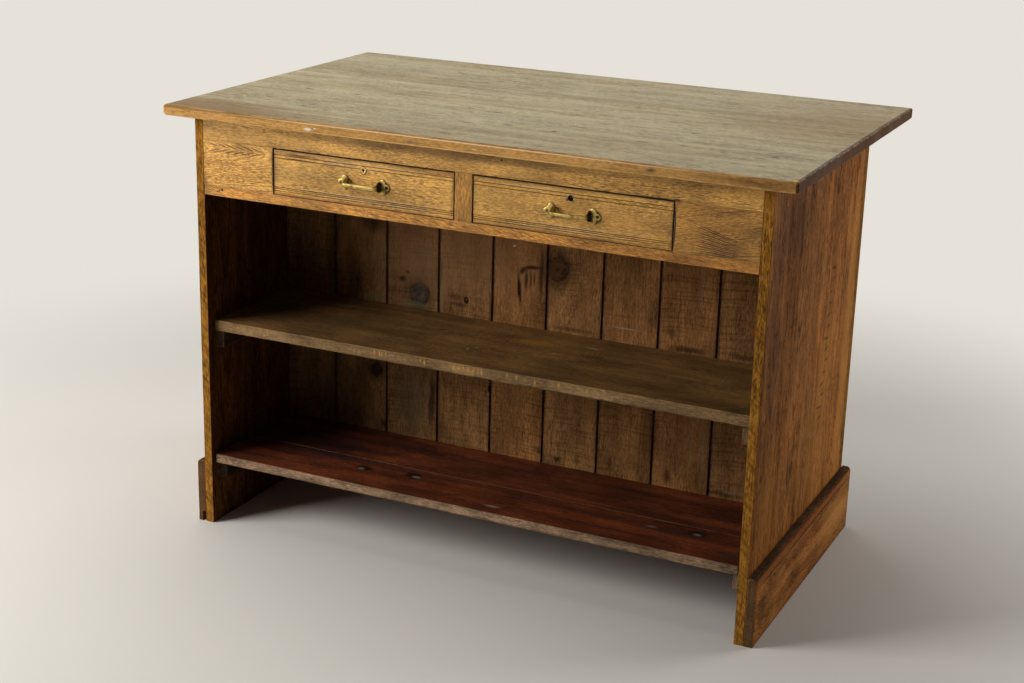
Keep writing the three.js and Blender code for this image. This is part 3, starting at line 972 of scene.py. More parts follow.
@dataclass(frozen=True)
class Mark:
    """A spot, stain, scratch or crack on a finish."""

    x: float  # its middle along the finish's plane
    y: float  # its middle up the plane
    length: float  # half its length
    width: float  # half its width
    tint: str
    strength: float = 0.7
    edge: float = 0.2  # the share of it that is even, 0 for a soft mark
    turn: float = 0.0
    ragged: bool = True  # whether the grain breaks up its edge
    plane: Plane | None = None  # a plane of its own, for a mark on another face
    level: float = 0.0  # the place of that other face


Row = tuple[float | str, ...]


def marks_of(*rows: Row, **shared: object) -> list[Mark]:
    """Marks from rows of their fields, in the order above; fields that all of them share are named."""
    return [Mark(*row, **shared) for row in rows]


@dataclass(frozen=True)
class Knot:
    """A knot in a board."""

    x: float  # its middle along the finish's plane
    y: float  # its middle up the plane
    radius: float
    core: str
    rim: str  # the colour of its rings too
    halo: str  # the colour of the wood round it
    halo_share: float

    def placed(self, g: Graph, tree: NodeTree, at: Socket, upright: bool) -> Node:
        """Places the knot's group, whose first axis lies across the fibres.

        Args:
            g: the material's graph.
            tree: the knot group.
            at: the place in the finish's plane.
            upright: whether the fibres run along the plane's second axis.

        Returns:
            The group's node.
        """
        centre = (self.x * MM, self.y * MM, 0.0)
        if not upright:
            parts = g.parts(at)
            at, centre = g.joined(parts[1], parts[0], 0.0), (centre[1], centre[0], 0.0)
        return g.group(tree, {"At": at, "Centre": centre, "Radius": self.radius * MM})

    def laid(self, g: Graph, node: Node, colour: Socket) -> Socket:
        """The colour with the knot over it.

        Args:
            g: the graph that the nodes go into.
            node: the knot's group.
            colour: the colour so far.

        Returns:
            The new colour.
        """
        inside = g.mix(node.outputs["Rings"], colour_of(self.core), self.rim)
        colour = g.mix(g.times(node.outputs["Halo"], self.halo_share), colour, self.halo)
        colour = g.mix(node.outputs["Core"], colour, inside)
        return g.mix(g.times(node.outputs["Rim"], 0.9), colour, self.rim)


def plane_place(g: Graph, plane: Plane) -> Socket:
    """A place in a plane: along its two axes, and out of it.

    Args:
        g: the graph that the nodes go into.
        plane: the plane.

    Returns:
        The three parts as a vector.
    """
    place = g.parts(g.own_place())
    first, second = plane.value
    return g.joined(place[first], place[second], place[3 - first - second])


@dataclass(frozen=True)
class Finish:
    """A surface finish: the material's name, and the record's slot for it."""

    name: str
    slot: Slot

    def surface(self, g: Graph, shader: Node, effects: Effects) -> tuple[Socket, Socket, Node]:
        """The finish's colour, roughness and bump; each kind of finish makes its own."""
        raise NotImplementedError

    def build(self, effects: Effects) -> Coat:
        """The finish as a material.

        Args:
            effects: the shared groups.

        Returns:
            The material with its slot.
        """
        material = bpy.data.materials.new(self.name)
        material.use_nodes = True
        g = Graph(material.node_tree)
        shader = material.node_tree.nodes["Principled BSDF"]
        colour, rough, bump = self.surface(g, shader, effects)
        g.feed(shader.inputs["Base Color"], colour)
        g.feed(shader.inputs["Roughness"], rough)
        g.feed(shader.inputs["Normal"], bump.outputs["Normal"])
        return Coat(material, self.slot)


@dataclass(frozen=True)
class WoodFinish(Finish):
    """Stained, waxed or bare wood."""

    light: str  # between the rings
    dark: str  # the rings
    streak: str
    pore: str  # pores, dirt, and the painted shade stored on the pieces
    worn: str  # rubbed arrises
    edge: str = "#000000"  # the narrow faces
    edge_share: float = 0.0  # how strong that colour is
    plane: Plane = Plane.FRONT  # where marks are placed
    ring_spacing: float = 4.0
    taper: float = 0.04  # how fast the trunk narrows, which sets how long the arches are
    waviness: float = 20.0  # how far the grain wanders
    rings: float = 0.6
    streaks: float = 0.6
    fibres: float = 0.2
    clouds: float = 0.3  # broad light and dark patches
    pores: float = 0.6
    pore_size: float = 2.4  # the width of a crowd of pores
    rub_width: float = 3.0  # how far the arrises are rubbed
    rub: float = 0.6
    grime: float = 0.2  # dirt beside the arrises
    gap: float = 0.0  # how far from the arrises it is painted black, as shade in the gaps between boards
    inner: float = 1.0  # how light the faces that look inwards are painted, as painted shade inside the carcass
    chatter: float = 0.0  # slanted tool marks on the narrow faces
    saw: float = 0.0
    roughness: Pair = (0.45, 0.62)
    gloss: float = 0.3  # the wax's reflection, where 0.5 is plain varnish
    relief: float = 0.2  # the depth of the fine relief
    upright: bool = False  # whether the grain runs along the plane's second axis
    marks: Sequence[Mark] = ()  # the lowest one first
    knots: Sequence[Knot] = ()

    def surface(self, g: Graph, shader: Node, effects: Effects) -> tuple[Socket, Socket, Node]:
        """The wood's colour, roughness and bump.

        Args:
            g: the material's graph.
            shader: the material's shader.
            effects: the shared groups.

        Returns:
            The three of them.
        """
        arris, tone, side = g.parts(g.attribute("board", "Vector"))
        at = plane_place(g, self.plane)
        place = g.attribute("grain", "Vector")
        knots = [(knot, knot.placed(g, effects.knot, at, self.upright)) for knot in self.knots]
        for _, node in knots:
            place = g.vector("ADD", place, g.joined(0.0, node.outputs["Aside"], 0.0))
        figure = g.attribute("figure")
        calm = g.math("MAXIMUM", g.times(figure, figure), 1.0)
        grain = g.group(effects.grain, {
            "Place": place, "Ring spacing": self.ring_spacing * MM, "Taper": self.taper,
            "Waviness": g.math("DIVIDE", self.waviness * MM, calm), "Pore size": self.pore_size * MM,
        }).outputs
        streaks = g.times(g.span(grain["Streaks"], 0.38, 0.66), self.streaks)
        colour = g.mix(streaks, colour_of(self.light), self.streak)
        rings = g.times(g.times(grain["Rings"], self.rings), figure, clamp=True)
        colour = g.mix(rings, colour, self.dark)
        shade = g.span(grain["Fibres"], 0.3, 0.7, 1.0 - self.fibres, 1.0 + self.fibres)
        shade = g.times(shade, g.line(tone, 0.6, 1.0))
        cloudy = g.span(grain["Clouds"], 0.3, 0.7, 1.0 - self.clouds, 1.0 + self.clouds)
        colour = g.scaled(colour, g.times(shade, cloudy))
        colour = g.mix(g.attribute("warmth"), colour, g.vector("MULTIPLY", colour, (1.05, 0.74, 0.42)))
        colour = g.mix(g.times(grain["Pores"], self.pores), colour, self.pore)
        for knot, node in knots:
            colour = knot.laid(g, node, colour)
        height = g.times(grain["Pores"], -0.8)
        height = g.line(rings, 0.8, height)
        height = g.line(grain["Fibres"], 0.7, height)
        if self.saw:
            saw = g.group(effects.saw, {"Place": place}).outputs["Marks"]
            colour = g.scaled(colour, g.span(saw, 0.0, 1.0, 1.0 + 0.22 * self.saw, 1.0 - 0.5 * self.saw))
            height = g.line(saw, -1.4, height)
        narrow = g.span(g.math("ABSOLUTE", side), 0.88, 0.97, 1.0, 0.0)
        if self.edge_share:
            edge = g.scaled(colour_of(self.edge)[:3], g.times(shade, cloudy))
            edge = g.mix(g.times(grain["Pores"], 0.75 * self.pores), edge, self.pore)
            colour = g.mix(g.times(narrow, self.edge_share), colour, edge)
        if self.chatter:
            colour = g.mix(self.chattered(g, grain["Streaks"], narrow), colour, self.dark)
        # Painted shade: the faces that look inwards are darkened.
        if self.inner < 1:
            colour = g.scaled(colour, g.span(side, -0.97, -0.9, self.inner, 1.0))
        colour = self.marked(g, effects.mark, g.span(side, 0.3, 0.8), place, colour)
        # The stored share: dirt in the drawers' grooves and painted shade along their edges.
        colour = g.mix(g.attribute("dirt"), colour, self.pore)
        inputs = {"Arris": arris, "Place": place, "Width": self.rub_width * MM}
        rubbed = g.group(effects.arris, inputs).outputs
        colour = g.mix(g.times(rubbed["Grime"], self.grime), colour, self.pore)
        colour = g.mix(g.times(rubbed["Rubbed"], self.rub), colour, self.worn)
        # Painted shade: black along the arrises, where the gaps between boards are.
        if self.gap:
            near = g.span(arris, 0.4 * self.gap * MM, self.gap * MM, 0.95, 0.0)
            colour = g.mix(near, colour, "#060302")
        rough = g.span(grain["Streaks"], 0.3, 0.7, *self.roughness)
        rough = g.line(grain["Pores"], 0.2, rough)
        if self.edge_share:
            rough = g.line(narrow, 0.4, rough, clamp=True)
        shader.inputs["Specular IOR Level"].default_value = self.gloss
        bump = {"Height": height, "Distance": self.relief * MM, "Strength": 1.0}
        return colour, rough, g.node("ShaderNodeBump", bump)

    def chattered(self, g: Graph, streaks: Socket, narrow: Socket) -> Socket:
        """Slanted tool marks on the narrow faces.

        Args:
            g: the graph that the nodes go into.
            streaks: the grain's streaks.
            narrow: where the board's narrow faces are.

        Returns:
            How strong the marks are.
        """
        x, _, z = g.parts(g.own_place())
        lines = g.span(g.noise(g.joined(g.line(x, 0.9, z)), (95.0, 1.0, 1.0), 1.0), 0.46, 0.6)
        lines = g.times(lines, g.span(streaks, 0.4, 0.6, 0.1, 1.0))
        return g.times(g.times(lines, narrow), self.chatter)

    def marked(self, g: Graph, tree: NodeTree, facing: Socket, place: Socket, colour: Socket) -> Socket:
        """Lays the marks over the colour.

        Args:
            g: the material's graph.
            tree: the mark group.
            facing: where the board's face looks out.
            place: the grain's own place.
            colour: the colour so far.

        Returns:
            The colour with the marks on it.
        """
        if not self.marks:
            return colour
        shift = g.drift(place, (30.0, 130.0, 130.0), 3.0)
        places: dict[Plane, Socket] = {}
        for mark in self.marks:
            plane = mark.plane or self.plane
            if plane not in places:
                places[plane] = plane_place(g, plane)
            where = places[plane]
            if mark.ragged:
                reach = 1.1 * min(mark.length, mark.width) * MM
                where = g.vector("ADD", where, g.scaled(shift, reach))
            depth = 8 * MM if mark.plane else 10.0
            mask = g.group(tree, {
                "At": where, "Centre": (mark.x * MM, mark.y * MM, mark.level * MM),
                "Size": (mark.length * MM, mark.width * MM, depth),
                "Turn": -math.radians(mark.turn), "Edge": mark.edge,
            }).outputs["Mask"]
            strength = mark.strength if mark.plane else g.times(facing, mark.strength)
            colour = g.mix(g.times(mask, strength), colour, mark.tint)
        return colour


@dataclass(frozen=True)
class MetalFinish(Finish):
    """Aged metal, clean where it is rubbed."""

    clean: str
    tarnish: str
    roughness: Pair
    # the colour of the stored dirt and painted shade
    dirt: str = "#120C06"
    frequency: float = 90.0  # tarnish clouds to a metre

    def surface(self, g: Graph, shader: Node, effects: Effects) -> tuple[Socket, Socket, Node]:
        """The metal's colour, roughness and bump.

        Args:
            g: the material's graph.
            shader: the material's shader.
            effects: the shared groups.

        Returns:
            The three of them.
        """
        inputs = {"Place": g.own_place(), "Cloud frequency": self.frequency}
        clouds, specks = g.group(effects.patina, inputs).outputs
        colour = g.mix(g.times(clouds, 0.75), colour_of(self.clean), self.tarnish)
        colour = g.mix(g.times(specks, 0.6), colour, self.tarnish)
        # The stored share paints shade on the pulls' posts and plate rims, and darkens the screw heads.
        dirt = g.attribute("dirt")
        shader.inputs["Metallic"].default_value = 1.0
        rough = g.line(dirt, 0.3, g.span(clouds, 0.0, 1.0, *self.roughness))
        bump = {"Height": clouds, "Distance": 0.1 * MM, "Strength": 0.6}
        return g.mix(dirt, colour, self.dirt), rough, g.node("ShaderNodeBump", bump)


# Pieces that repeat, made with geometry nodes


class ShapeTree:
    """A geometry node tree with named inputs."""

    KINDS = {float: "Float", int: "Int", Material: "Material"}

    def __init__(self, name: str, sizes: dict[str, object]) -> None:
        """Makes the tree and its inputs.

        Args:
            name: the tree's name.
            sizes: each input's name and value: a length in metres, a count or a material.
        """
        self.tree = bpy.data.node_groups.new(name, "GeometryNodeTree")
        self.values: dict[str, object] = {}
        self.add_socket("Places", "INPUT", "Geometry")
        for key, value in sizes.items():
            self.values[self.add_socket(key, "INPUT", self.KINDS[type(value)])] = value
        self.add_socket("Shape", "OUTPUT", "Geometry")
        self.graph = Graph(self.tree)
        self.given = self.graph.node("NodeGroupInput").outputs

    def add_socket(self, name: str, side: str, kind: str) -> str:
        """Adds an input or an output, and gives its identifier."""
        kind = "NodeSocket" + kind
        return self.tree.interface.new_socket(name, in_out=side, socket_type=kind).identifier

    def moved(self, shape: Socket, height: Socket) -> Socket:
        """A shape moved up Z."""
        inputs = {"Geometry": shape, "Translation": self.graph.joined(0.0, 0.0, height)}
        return self.graph.node("GeometryNodeTransform", inputs).outputs[0]

    def end_with(self, shape: Socket, lean: float) -> None:
        """Stands a copy of the shape on each place, turned at random round its own axis, and puts them out.

        Args:
            shape: the shape, with its axis up Z.
            lean: how far a copy may lean, in radians.
        """
        g, given = self.graph, self.given
        named = g.node("GeometryNodeInputNamedAttribute", {"Name": "outward"}, data_type="FLOAT_VECTOR")
        outward = {"Vector": named.outputs["Attribute"]}
        facing = g.node("FunctionNodeAlignRotationToVector", outward, axis="Z")
        limits = {0: (-lean, -lean, 0.0), 1: (lean, lean, math.pi), "Seed": given["Seed"]}
        spin = g.node("FunctionNodeRandomValue", limits, data_type="FLOAT_VECTOR")
        turn = g.node("FunctionNodeEulerToRotation", {0: spin.outputs["Value"]}).outputs[0]
        turns = {"Rotation": facing.outputs["Rotation"], "Rotate By": turn}
        rotation = g.node("FunctionNodeRotateRotation", turns, rotation_space="LOCAL").outputs[0]
        copies = {"Points": given["Places"], "Instance": shape, "Rotation": rotation}
        placed = g.node("GeometryNodeInstanceOnPoints", copies).outputs[0]
        real = g.node("GeometryNodeRealizeInstances", {0: placed}).outputs[0]
        smooth = g.node("GeometryNodeSetShadeSmooth", {0: real, "Shade Smooth": True}).outputs[0]
        made = g.node("GeometryNodeSetMaterial", {0: smooth, "Material": given["Material"]})
        g.node("NodeGroupOutput", {0: made.outputs[0]})

    def applied(self, name: str, places: Array, outward: Array) -> Mesh:
        """The plain mesh that the tree makes.

        Args:
            name: the mesh's name.
            places: where the copies go, one a row.
            outward: the direction each one looks, one a row.

        Returns:
            The mesh.
        """
        seeds = mesh_of(name + "_places", places, [])
        write_attributes(seeds, outward=outward)
        base = object_of(name + "_places", seeds)
        modifier = base.modifiers.new("Copies", "NODES")
        modifier.node_group = self.tree
        for identifier, value in self.values.items():
            modifier[identifier] = value
        return shaded(plain_mesh(base, name), 40)


def nail_tree(material: Material, radius: float, height: float) -> ShapeTree:
    """Slightly domed nail heads that lean a little each their own way.

    Args:
        material: their material.
        radius: a head's radius.
        height: its height.

    Returns:
        The tree.
    """
    tree = ShapeTree("Nail heads", {"Radius": radius, "Height": height, "Seed": 4, "Material": material})
    g, given = tree.graph, tree.given
    inputs = {"Vertices": 12, "Radius Top": g.times(given["Radius"], 0.7), "Radius Bottom": given["Radius"]}
    head = g.node("GeometryNodeMeshCone", {**inputs, "Depth": given["Height"]}).outputs["Mesh"]
    tree.end_with(head, 0.12)
    return tree


def screw_tree(material: Material, seed: int) -> ShapeTree:
    """Round-headed screws, each with a slot across its head and a shank behind it.

    Args:
        material: their material.
        seed: what sets their turns.

    Returns:
        The tree.
    """
    sizes = {
        "Head radius": 3.3 * MM, "Head height": 1.7 * MM, "Slot width": 0.7 * MM, "Slot depth": 1.0 * MM,
        "Shank radius": 1.6 * MM, "Shank length": 12.0 * MM, "Seed": seed, "Material": material,
    }
    tree = ShapeTree("Round-headed screws", sizes)
    g, given = tree.graph, tree.given
    ball = g.node("GeometryNodeMeshUVSphere", {"Segments": 32, "Rings": 16, "Radius": 1.0}).outputs["Mesh"]
    span = g.joined(given["Head radius"], given["Head radius"], given["Head height"])
    dome = g.node("GeometryNodeTransform", {"Geometry": ball, "Scale": span}).outputs[0]
    size = g.joined(g.times(given["Head radius"], 3.0), given["Slot width"], given["Slot depth"])
    bar = g.node("GeometryNodeMeshCube", {"Size": size}).outputs["Mesh"]
    up = g.math("SUBTRACT", given["Head height"], g.times(given["Slot depth"], 0.3))
    inputs = {0: dome, 1: tree.moved(bar, up)}
    head = g.node("GeometryNodeMeshBoolean", inputs, operation="DIFFERENCE").outputs[0]
    inputs = {"Vertices": 16, "Radius": given["Shank radius"], "Depth": given["Shank length"]}
    shank = g.node("GeometryNodeMeshCylinder", inputs).outputs["Mesh"]
    join = g.node("GeometryNodeJoinGeometry", {0: head})
    g.feed(join.inputs[0], tree.moved(shank, g.times(given["Shank length"], -0.5)))
    tree.end_with(join.outputs[0], 0.0)
    return tree


# Sub-assemblies


@dataclass
class TopBoard(Board):
    """A board of the top, rounded with the slab that it is part of."""

    slab_radius: float = 2.4 * MM  # of the long arrises
    end_radii: Pair = (6.5 * MM, 2.6 * MM)  # of those at the left and right ends
    corner_radius: float = 4 * MM

    def worn_box(self) -> tuple[Array, Array]:
        """The corners of the whole slab."""
        boxes = [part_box(f"top_board_{i}") for i in range(1, Worktop.COUNT + 1)]
        return np.min([box[0] for box in boxes], axis=0), np.max([box[1] for box in boxes], axis=0)

    def bend_lines(self) -> dict[int, list[float]]:
        """Grid lines over the slab's arrises, along each axis.

        Returns:
            The lines, by axis index.
        """
        low, high = self.worn_box()
        bends = [b * MM for b in (0.3, 0.7, 1.2, 1.8, 2.4, 3.2, 4.4, 6.0, 8.0)]
        return {k: [low[k] + b for b in bends] + [high[k] - b for b in bends] for k in range(3)}

    def shaped(self, flat: Array) -> Array:
        """The board's surface, rounded at its joints and then with the slab.

        Args:
            flat: places on the board with sharp arrises.

        Returns:
            The same places on the worn board.
        """
        low, high = self.corners()
        points = rounded(flat, low, high, np.full(len(flat), self.arris))
        low, high = self.worn_box()
        to_ends = np.minimum(points - low, high - points)
        near = np.exp(-(np.linalg.norm(to_ends[:, :2], axis=1) / (16 * MM)) ** 2)
        mean = self.slab_radius + (self.corner_radius - self.slab_radius) * near
        points = rounded(points, low, high, self.radius(points, mean, (high - low)[2]))
        left, right = self.end_radii
        at_end = np.where(to_ends[:, 0] < 8 * MM, np.where(points[:, 0] < 0, left, right), 0.0)
        return rounded(points, low, high, at_end, axes=(0, 2))


@dataclass
class Worktop:
    """The boarded top. Its dents are places along the front, in millimetres."""

    COUNT = 5
    front_dents: Sequence[float] = (-362, -280, -219, -175, 7, 224, 294, 468, 511, 572)
    tones: Sequence[float] = (-0.05, 0.0, 0.12, -0.04, 0.06)
    hearts: Sequence[Triple] = (
        (0.3, 0.16, 0.05), (1.1, -0.012, 0.07), (2.0, 0.03, 0.09), (0.6, -0.05, 0.06), (1.7, 0.09, 0.05),
    )

    def build(self, coat: Coat) -> list[Object]:
        """The five boards.

        Args:
            coat: their finish.

        Returns:
            The finished pieces.
        """
        made = []
        for i in range(self.COUNT):
            grain = Grain(Axis.X, Axis.Z, 1, self.hearts[i], 0.3 * (i - 2))
            board = TopBoard(f"top_board_{i + 1}", grain, 0.25 * MM, wear=0.18, tone=self.tones[i])
            board.lines = board.bend_lines()
            if i == 0:
                board.dents = self.dents(board)
            made.append(board.build(coat))
        return made

    def dents(self, board: TopBoard) -> tuple[Dent, ...]:
        """Knocks along the slab's front arrises.

        Args:
            board: the front board.

        Returns:
            A dent for each knock.
        """
        low, high = board.worn_box()
        draw = np.random.default_rng(7)
        dents = []
        for x in self.front_dents:
            top = draw.random() < 0.6
            at = (x * MM, low[1], high[2] if top else low[2])
            reach = (draw.uniform(3, 9) * MM, 9 * MM, 7 * MM)
            dents.append(Dent(at, reach, draw.uniform(1.2, 2.6) * MM))
        return tuple(dents)


@dataclass(frozen=True)
class Stave:
    """One of the boards that an end panel is glued up from."""

    to: float  # where it ends, towards the back
    middle: float  # where the heart of its tree lies
    heart: Pair  # the rest of that place: along the trunk, and in front of it
    tone: float
    slope: float


@dataclass
class EndPanel(Board):
    """An end panel, with the grain of each of its staves from front to back."""

    staves: tuple[Stave, ...] = (
        Stave(-235 * MM, -305 * MM, (0.2, 0.06), -0.15, 0.02),
        Stave(-28 * MM, -147 * MM, (1.1, 0.05), -0.25, 0.03),
        Stave(122 * MM, 70 * MM, (2.3, 0.055), 0.15, -0.01),
        Stave(600 * MM, 235 * MM, (3.1, 0.02), 0.2, 0.0),
    )

    def mesh(self) -> Mesh:
        """The board's mesh, with a grid line at each joint between its staves."""
        self.lines = {1: [stave.to + side * 0.15 * MM for stave in self.staves[:-1] for side in (-1, 1)]}
        return super().mesh()

    def dress(self, mesh: Mesh) -> None:
        """Stores what the finishes read, with each stave's own grain and tone.

        Args:
            mesh: the board's mesh.
        """
        super().dress(mesh)
        places = places_of(mesh)
        low, high = self.corners()
        centre = (low + high) / 2
        index = np.sum([places[:, 1] > stave.to for stave in self.staves[:-1]], axis=0)
        board = np.empty(3 * len(places), np.float32)
        mesh.attributes["board"].data.foreach_get("vector", board)
        board = board.reshape(-1, 3)
        grain = np.zeros((len(places), 3), np.float32)
        for i, stave in enumerate(self.staves):
            heart = (stave.heart[0], 0.0, stave.heart[1])
            lie = Grain(Axis.Z, Axis.X, self.grain.outward, heart, slope=stave.slope)
            own = lie.places(places, np.array([centre[0], stave.middle, centre[2]]))
            grain[index == i], board[index == i, 1] = own[index == i], stave.tone
        mesh.attributes["grain"].data.foreach_set("vector", grain.ravel())
        mesh.attributes["board"].data.foreach_set("vector", board.ravel())


@dataclass
class PlinthBoard(Board):
    """A plinth board: a rounded top outer edge and a groove under it, in metres."""

    top_radius: float = 9 * MM
    groove_drop: float = 20 * MM
    groove_width: float = 2.5 * MM
    groove_depth: float = 3 * MM
    broken_corner: Triple = (9 * MM, 34 * MM, 22 * MM)

    def moulded(self, is_broken: bool) -> "PlinthBoard":
        """Gives the board the grid lines of its moulding, and its broken corner if it has one.

        Args:
            is_broken: whether a corner is broken off.

        Returns:
            The same board.
        """
        low, high = self.corners()
        outward = self.grain.outward
        bends = [b * MM for b in (0.3, 1.2, 2.6, 4.5, 6.7, 9, 11)]
        groove = [high[2] - self.groove_drop - share * self.groove_width for share in (-0.05, 0.1, 0.9, 1.05)]
        outer = high[0] if outward > 0 else low[0]
        self.lines = {0: [outer - outward * b for b in bends], 2: groove + [high[2] - b for b in bends]}
        if is_broken:
            self.cutters = (self.corner_cutter(high, low),)
        return self

    def corner_cutter(self, high: Array, low: Array) -> Mesh:
        """What is broken off the inner bottom corner of the board's front end.

        Args:
            high: the board's highest corner.
            low: its lowest corner.

        Returns:
            A closed mesh.
        """
        width, depth, height = self.broken_corner
        outline = [
            (high[0] - width, low[1] - MM), (high[0] + MM, low[1] - MM), (high[0] + MM, low[1] + depth),
            (high[0] - 0.35 * width, low[1] + 0.9 * depth), (high[0] - 0.8 * width, low[1] + 0.5 * depth),
        ]
        return prism("broken_corner", outline, Axis.Z, low[2] - MM, low[2] + height)

    def shaped(self, flat: Array) -> Array:
        """The board's surface with its groove, its moulded edge and its worn arrises.

        Args:
            flat: places on the board with sharp arrises.

        Returns:
            The same places on the moulded board.
        """
        low, high = self.corners()
        points = super().shaped(flat)
        outer = high[0] if self.grain.outward > 0 else low[0]
        from_outer = np.abs(flat[:, 0] - outer)
        centre = high[2] - self.groove_drop - self.groove_width / 2
        inside = (np.abs(flat[:, 2] - centre) < self.groove_width / 2) & (from_outer < 1e-6)
        points[inside, 0] -= self.grain.outward * self.groove_depth
        near = (from_outer < 12 * MM) & (flat[:, 2] > high[2] - 12 * MM)
        radius = np.where(near, self.top_radius, 0.0)
        return rounded(points, low, high, radius, axes=(0, 2))


@dataclass
class EndPanels:
    """The end panels, the stiles and rail at their back edges, and the plinth boards outside."""

    panel_step: float = 20 * MM
    arris: float = 1.0 * MM

    def build(self, panel: Coat, plinth: Coat) -> list[Object]:
        """All the pieces of both ends.

        Args:
            panel: the panels' finish.
            plinth: the plinth boards' finish.

        Returns:
            The finished pieces.
        """
        made = []
        for side, outward in (("left", -1), ("right", 1)):
            grain = Grain(Axis.Z, Axis.X, outward, (0.9 + 0.5 * outward, 0.045, 0.075), 0.4)
            made.append(EndPanel(f"{side}_end_panel", grain, self.arris, step=self.panel_step).build(panel))
            stile = f"{side}_rear_stile"
            made.append(Board(stile, Grain.drawn(stile, Axis.Z, Axis.Y), self.arris, tone=-0.5).build(panel))
            grain = Grain(Axis.Y, Axis.X, outward, (0.4, 0.03, 0.04), -0.6)
            board = PlinthBoard(f"{side}_plinth_board", grain, 1.4 * MM)
            made.append(board.moulded(is_broken=side == "left").build(plinth))
        rail = Board("rear_rail", Grain.drawn("rear_rail", Axis.X, Axis.Y), self.arris)
        return [*made, rail.build(panel)]


@dataclass
class Apron:
    """The frame round the drawers: rails, fillers and the muntin between them."""

    fine_step: float = 8 * MM
    rail_step: float = 10 * MM

    def build(self, coat: Coat) -> list[Object]:
        """The five pieces.

        Args:
            coat: their finish.

        Returns:
            The finished pieces.
        """
        flat, upright = (Axis.X, Axis.Y, -1), (Axis.Z, Axis.Y, -1)
        rail, fine = {"step": self.rail_step}, {"step": self.fine_step}
        left = Grain(*flat, (0.1, -0.03, 0.014), 0.8, trunk=-1, slope=0.12)
        right = Grain(*flat, (0.9, 0.07, 0.02), -13.0, slope=0.1)
        upper, lower = Grain(*flat, (0.2, 0.11, 0.03), -0.5), Grain(*flat, (1.3, 0.05, 0.03), 7.0)
        muntin = Grain(*upright, (0.4, 0.06, 0.02))
        boards = (
            Board("top_rail", upper, 0.8 * MM, tone=-0.07, **rail),
            Board("lower_rail", lower, 1.2 * MM, tone=-0.05, warmth=0.5, figure=1.6, **rail),
            # The left filler's light tone and the right filler's dark one are partly painted light, falling
            # off from left to right.
            Board("left_filler", left, 0.6 * MM, tone=0.24, figure=2.2, **fine),
            Board("centre_muntin", muntin, 0.8 * MM, tone=-0.08, warmth=0.25, figure=0.6, **fine),
            Board("right_filler", right, 0.6 * MM, tone=-0.35, warmth=0.25, figure=2.4, **fine),
        )
        return [board.build(coat) for board in boards]


@dataclass
class Partition:
    """The ten sawn boards behind the shelves, from left to right."""

    COUNT = 10
    # The three left boards' low tones are partly painted shade from the left end panel.
    tones: Sequence[float] = (-0.45, -0.2, -0.1, 0.12, 0.2, 0.22, 0.1, 0.25, 0.16, 0.1)
    warmths: Sequence[float] = (0.0, 0.0, 0.0, 0.0, 0.25, 0.0, 0.15, 0.2, 0.05, 0.15)

    def build(self, coat: Coat) -> list[Object]:
        """The boards.

        Args:
            coat: their finish.

        Returns:
            The finished pieces.
        """
        made = []
        for i, (tone, warmth) in enumerate(zip(self.tones, self.warmths), 1):
            name = f"back_board_{i:02d}"
            grain = Grain.drawn(name, Axis.Z, Axis.Y, -1, across=25, depth=45)
            made.append(Board(name, grain, 1.3 * MM, 0.8, tone=tone, warmth=warmth).build(coat))
        return made


@dataclass
class Shelves:
    """The shelves and the cleats that carry their ends."""

    shelf_arris: float = 1.6 * MM
    joint_arris: float = 1.0 * MM
    cleat_arris: float = 1.4 * MM

    def build(self, olive: Coat, red: Coat) -> list[Object]:
        """The three shelf boards and the four cleats.

        Args:
            olive: the middle shelf's and its cleats' finish.
            red: the bottom shelf's and its cleats' finish.

        Returns:
            The finished pieces.
        """
        flat = (Axis.X, Axis.Z, 1)
        front, rear = Grain(*flat, (0.1, 0.02, 0.05), 0.4), Grain(*flat, (1.9, -0.03, 0.07), -0.7)
        made = [
            Board("middle_shelf", Grain(*flat, (0.5, 0.03, 0.06), 0.6), self.shelf_arris).build(olive),
            Board("bottom_shelf_front_board", front, self.shelf_arris).build(red),
            Board("bottom_shelf_rear_board", rear, self.joint_arris).build(red),
        ]
        # The cleats' low tones are partly painted shade inside the carcass, deepest on the left.
        for (side, outward, tone), (place, coat) in itertools.product(
            (("left", 1, -1.2), ("right", -1, -0.5)), (("middle", olive), ("bottom", red))
        ):
            name = f"{side}_{place}_cleat"
            grain = Grain.drawn(name, Axis.Y, Axis.X, outward)
            made.append(Board(name, grain, self.cleat_arris, 0.7, tone=tone).build(coat))
        return made


@dataclass
class Framing:
    """Battens, kickers and runners: bare wood inside the carcass."""

    arris: float = 1.0 * MM
    runner_bevel: float = 0.8 * MM

    def build(self, coat: Coat) -> list[Object]:
        """All the pieces.

        Args:
            coat: their finish.

        Returns:
            The finished pieces.
        """
        bars = (
            ("runner_batten", Axis.X, Axis.Y), ("top_batten", Axis.X, Axis.Z),
            ("left_kicker", Axis.Y, Axis.Z), ("right_kicker", Axis.Y, Axis.Z),
        )
        boards = [Board(name, Grain.drawn(name, along, face), self.arris) for name, along, face in bars]
        grain = Grain(Axis.Y, Axis.Z, 1, (0.2, 0.05, 0.03))
        sides = ("left", "centre", "right")
        runners = [ShapedBar(f"{side}_runner", grain, self.runner_bevel) for side in sides]
        return [board.build(coat) for board in boards + runners]


